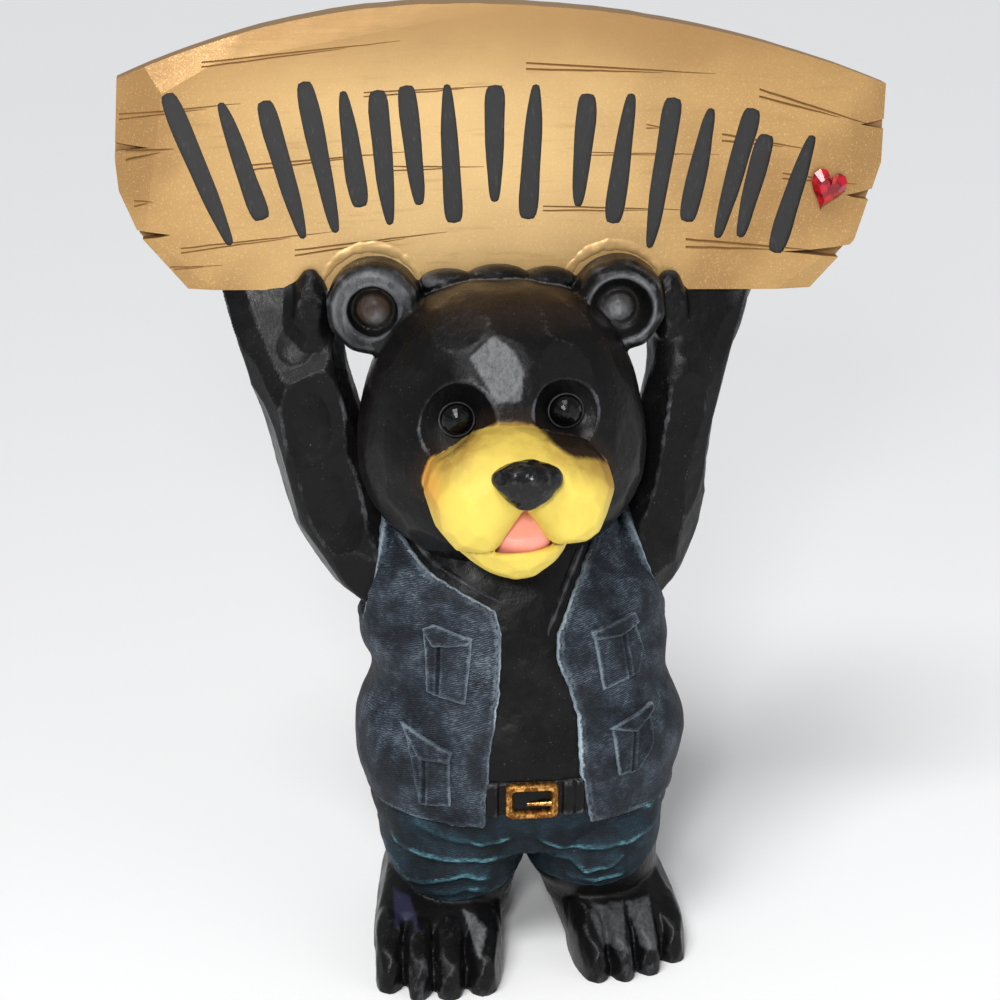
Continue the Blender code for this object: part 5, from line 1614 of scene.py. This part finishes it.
def as_item(edit, name, material):
    mesh = bpy.data.meshes.new(name)
    edit.to_mesh(mesh)
    edit.free()
    mesh.materials.append(material)
    return link(bpy.data.objects.new(name, mesh))


def cut_with(item, cutter, crossing=False):
    """Cut the cutter out of the item, whose new faces take the cutter's paint."""
    modifier = item.modifiers.new("Cut", "BOOLEAN")
    modifier.operation = "DIFFERENCE"
    modifier.use_self = crossing
    modifier.object = cutter
    modifier.material_mode = "TRANSFER"
    mesh = evaluated(item)
    item.modifiers.clear()
    item.data = mesh
    bpy.data.objects.remove(cutter)


GOLD = (0.46, 0.270, 0.095)
GOLD_DEEP = (0.34, 0.185, 0.060)
GOLD_BRIGHT = (0.86, 0.60, 0.27)
SPLIT_BROWN = (0.30, 0.165, 0.055)
# Middle of a painted highlight on the gold: the board's middle
HIGHLIGHT_MIDDLE = (SHIFT[0] - 0.02, 0.0, BOARD_MIDDLE[2] * SHARE + SHIFT[2])
INK = (0.010, 0.009, 0.009)
WORN_INK = (0.10, 0.10, 0.10)

paint = Paint("old_gold_board", Metallic=0.35, Coat_Weight=0.05)
grain = paint.noise(3.2, 4.0, 0.6, (0.10, 1.0, 1.0))
clouds = paint.noise(55, 2.0, 0.5)
specks = paint.noise(0.9, 2.0, 0.8)
colour = paint.blend(paint.between(clouds, 0.35, 0.65), GOLD_DEEP, GOLD)
# A painted highlight: the gold turns brighter towards the board's middle
inputs = {0: paint.place((1, 0, 1)), 1: HIGHLIGHT_MIDDLE}
middle = paint.node("VectorMath", inputs, operation="DISTANCE").outputs["Value"]
painted_highlight = paint.between(middle, 0.02, 0.17, 1.0, 0.0)
colour = paint.blend(paint.times(painted_highlight, 0.55), colour, GOLD_BRIGHT)
colour = paint.blend(paint.between(specks, 0.56, 0.72, 0.0, 0.5), colour, GOLD_BRIGHT)
colour = paint.blend(paint.between(grain, 0.25, 0.45, 0.35, 0.0), colour, GOLD_DEEP)
height = paint.node("SeparateXYZ", {0: paint.place()}).outputs[2]
upper = paint.between(height, HIGHLIGHT_MIDDLE[2] + 0.022, HIGHLIGHT_MIDDLE[2] + 0.070, 0.0, 0.8)
colour = paint.blend(upper, colour, GOLD_DEEP)
relief = paint.bump(grain, 0.16, 0.5, paint.bump(paint.noise(24, 2.0), 0.9, 0.5))
roughness = paint.between(specks, 0.35, 0.75, 0.48, 0.32)
gold = paint.finish(Base_Color=colour, Roughness=roughness, Normal=relief)

paint = Paint("old_gold_split", Metallic=0.2)
grain = paint.noise(2.0, 3.0, 0.6, (0.2, 1.0, 1.0))
split_gold = paint.mottled(grain, (0.3, 0.7), (SPLIT_BROWN, GOLD_DEEP), (0.5, 0.65))

paint = Paint("black_gouge_paint")
brush = paint.noise(1.6, 5.0, 0.7, (1.0, 1.0, 0.3), (0.0, 0.7, 0.0))
ink = paint.mottled(brush, (0.52, 0.85, 0.0, 0.5), (INK, WORN_INK), (0.42, 0.6), 0.15)


def make_board():
    edit = extrude_outline(board_outline(), 0, BOARD_THICKNESS)
    for point, facing in board_facets():
        slice_facet(edit, Vector(point), Vector(facing).normalized())
    rim = [edge for edge in edit.edges if edge.calc_face_angle(0) > math.radians(35)]
    bevel = {"offset": 0.9, "segments": 2, "profile": 0.6, "affect": "EDGES", "clamp_overlap": True}
    bmesh.ops.bevel(edit, geom=rim, **bevel)
    splits = split_cutters(edit)
    board = as_item(edit, "board", gold)
    cut_with(board, as_item(notch_cutters(), "notches", split_gold))
    cut_with(board, as_item(splits, "splits", split_gold), crossing=True)
    cut_with(board, as_item(stroke_cutters(), "strokes", ink))
    board.data.transform(Matrix.Translation(SHIFT) @ Matrix.Scale(SHARE, 4) @ board_matrix)
    board.data.shade_smooth()
    board.data.set_sharp_from_angle(angle=math.radians(9))
    add_to_casting(board)


make_board()

# Carved rims of the board round the ears
# Soft ridges of the board that hug the back of each ear, in the same gold.

EAR_RIM_RADIUS = 28.6
EAR_RIM_THICKNESS = 3.6
EAR_RIM_RISE = 0.30


def make_ear_rims():
    rims = BlockOut()
    for (x, y, z), start, end in ((EARS[0][0], 8, 172), (EARS[1][0], 4, 176)):
        around = []
        for angle in np.radians(np.linspace(start, end, 40)):
            out = np.array((math.cos(angle), 0, math.sin(angle)))
            share = (angle - math.radians(start)) / math.radians(end - start)
            taper = math.sin(math.pi * (0.08 + 0.84 * share)) ** 0.5
            thick = EAR_RIM_THICKNESS * taper * (1 + 0.25 * noise.noise(Vector((x, 6 * out[0], 6 * out[2]))))
            centre = np.array((x, BOARD_MIDDLE[1] + 0.3, z)) + out * EAR_RIM_RADIUS
            around.append(ring(centre, out, DEEP, thick, EAR_RIM_RISE * thick, 2.0, 20))
        rims.loft(around, TRUNK)
    skin = one_skin(rims, 0.7, 3)
    skin.push(0.3 * lumps(skin.points, 4.0))
    return skin


make_ear_rims().piece("board_ear_rims", gold)

# The heart
# A flat-backed red plastic gem with cut facets, glued near the board's right end.

paint = Paint("ruby_gem", Coat_Weight=0.5, Coat_Roughness=0.12)
tones = ((0.17, 0.0, 0.005), (0.46, 0.003, 0.014))
ruby = paint.mottled(paint.noise(5.0, 2.0, 0.5), (0.35, 0.65), tones, (0.04, 0.12))
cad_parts["heart_gem"].data.materials[0] = ruby

# Floor, light and camera

floor_edit = bmesh.new()
bmesh.ops.create_grid(floor_edit, x_segments=1, y_segments=1, size=9)
floor_mesh = bpy.data.meshes.new("floor")
floor_edit.to_mesh(floor_mesh)
floor_edit.free()
paint = Paint("pale_floor", Roughness=0.9)
tone = paint.blend(paint.noise(900, 1.0), (0.95, 0.95, 0.95), (0.96, 0.96, 0.96))
floor_mesh.materials.append(paint.finish(Base_Color=tone))
link(bpy.data.objects.new("floor", floor_mesh))


def soft_light(name, place, aim, power, width, height):
    lamp = bpy.data.lights.new(name, "AREA")
    lamp.shape = "RECTANGLE"
    lamp.size = width
    lamp.size_y = height
    lamp.energy = power
    item = link(bpy.data.objects.new(name, lamp))
    item.location = place
    item.rotation_euler = (Vector(place) - Vector(aim)).to_track_quat("Z", "Y").to_euler()


AIM = (0, 0, 0.26)
KEY_POWER = 15
FILL_POWER = 6
SUN_POWER = 1.7
soft_light("key", (-0.30, -1.50, 1.00), AIM, KEY_POWER, 0.26, 0.26)
soft_light("fill", (1.6, -1.4, 0.8), AIM, FILL_POWER, 1.6, 1.6)
sun = bpy.data.lights.new("window", "SUN")
sun.energy = SUN_POWER
sun.angle = math.radians(24)
sun_item = link(bpy.data.objects.new("window", sun))
sun_item.rotation_euler = Vector((-0.35, -0.55, 1.0)).to_track_quat("Z", "Y").to_euler()
world = bpy.data.worlds.new("pale_room")
world.use_nodes = True
sky = world.node_tree.nodes["Background"].inputs
sky["Color"].default_value = (0.95, 0.97, 1.0, 1.0)
sky["Strength"].default_value = 0.34
bpy.context.scene.world = world
bpy.context.scene.view_settings.view_transform = "Standard"

AZIMUTH = math.radians(-6)
ELEVATION = math.radians(18)
DISTANCE = 1.42
LENS = 93.46
LOOK_AT = Vector((0.003, 0, 0.247))
camera = bpy.data.cameras.new("camera")
camera.lens = LENS
camera.sensor_width = 36
camera_item = link(bpy.data.objects.new("camera", camera))
level = math.cos(ELEVATION)
back = Vector((math.sin(AZIMUTH) * level, -math.cos(AZIMUTH) * level, math.sin(ELEVATION)))
camera_item.location = Vector(SHIFT) + LOOK_AT + back * DISTANCE
camera_item.rotation_euler = back.to_track_quat("Z", "Y").to_euler()
bpy.context.scene.camera = camera_item
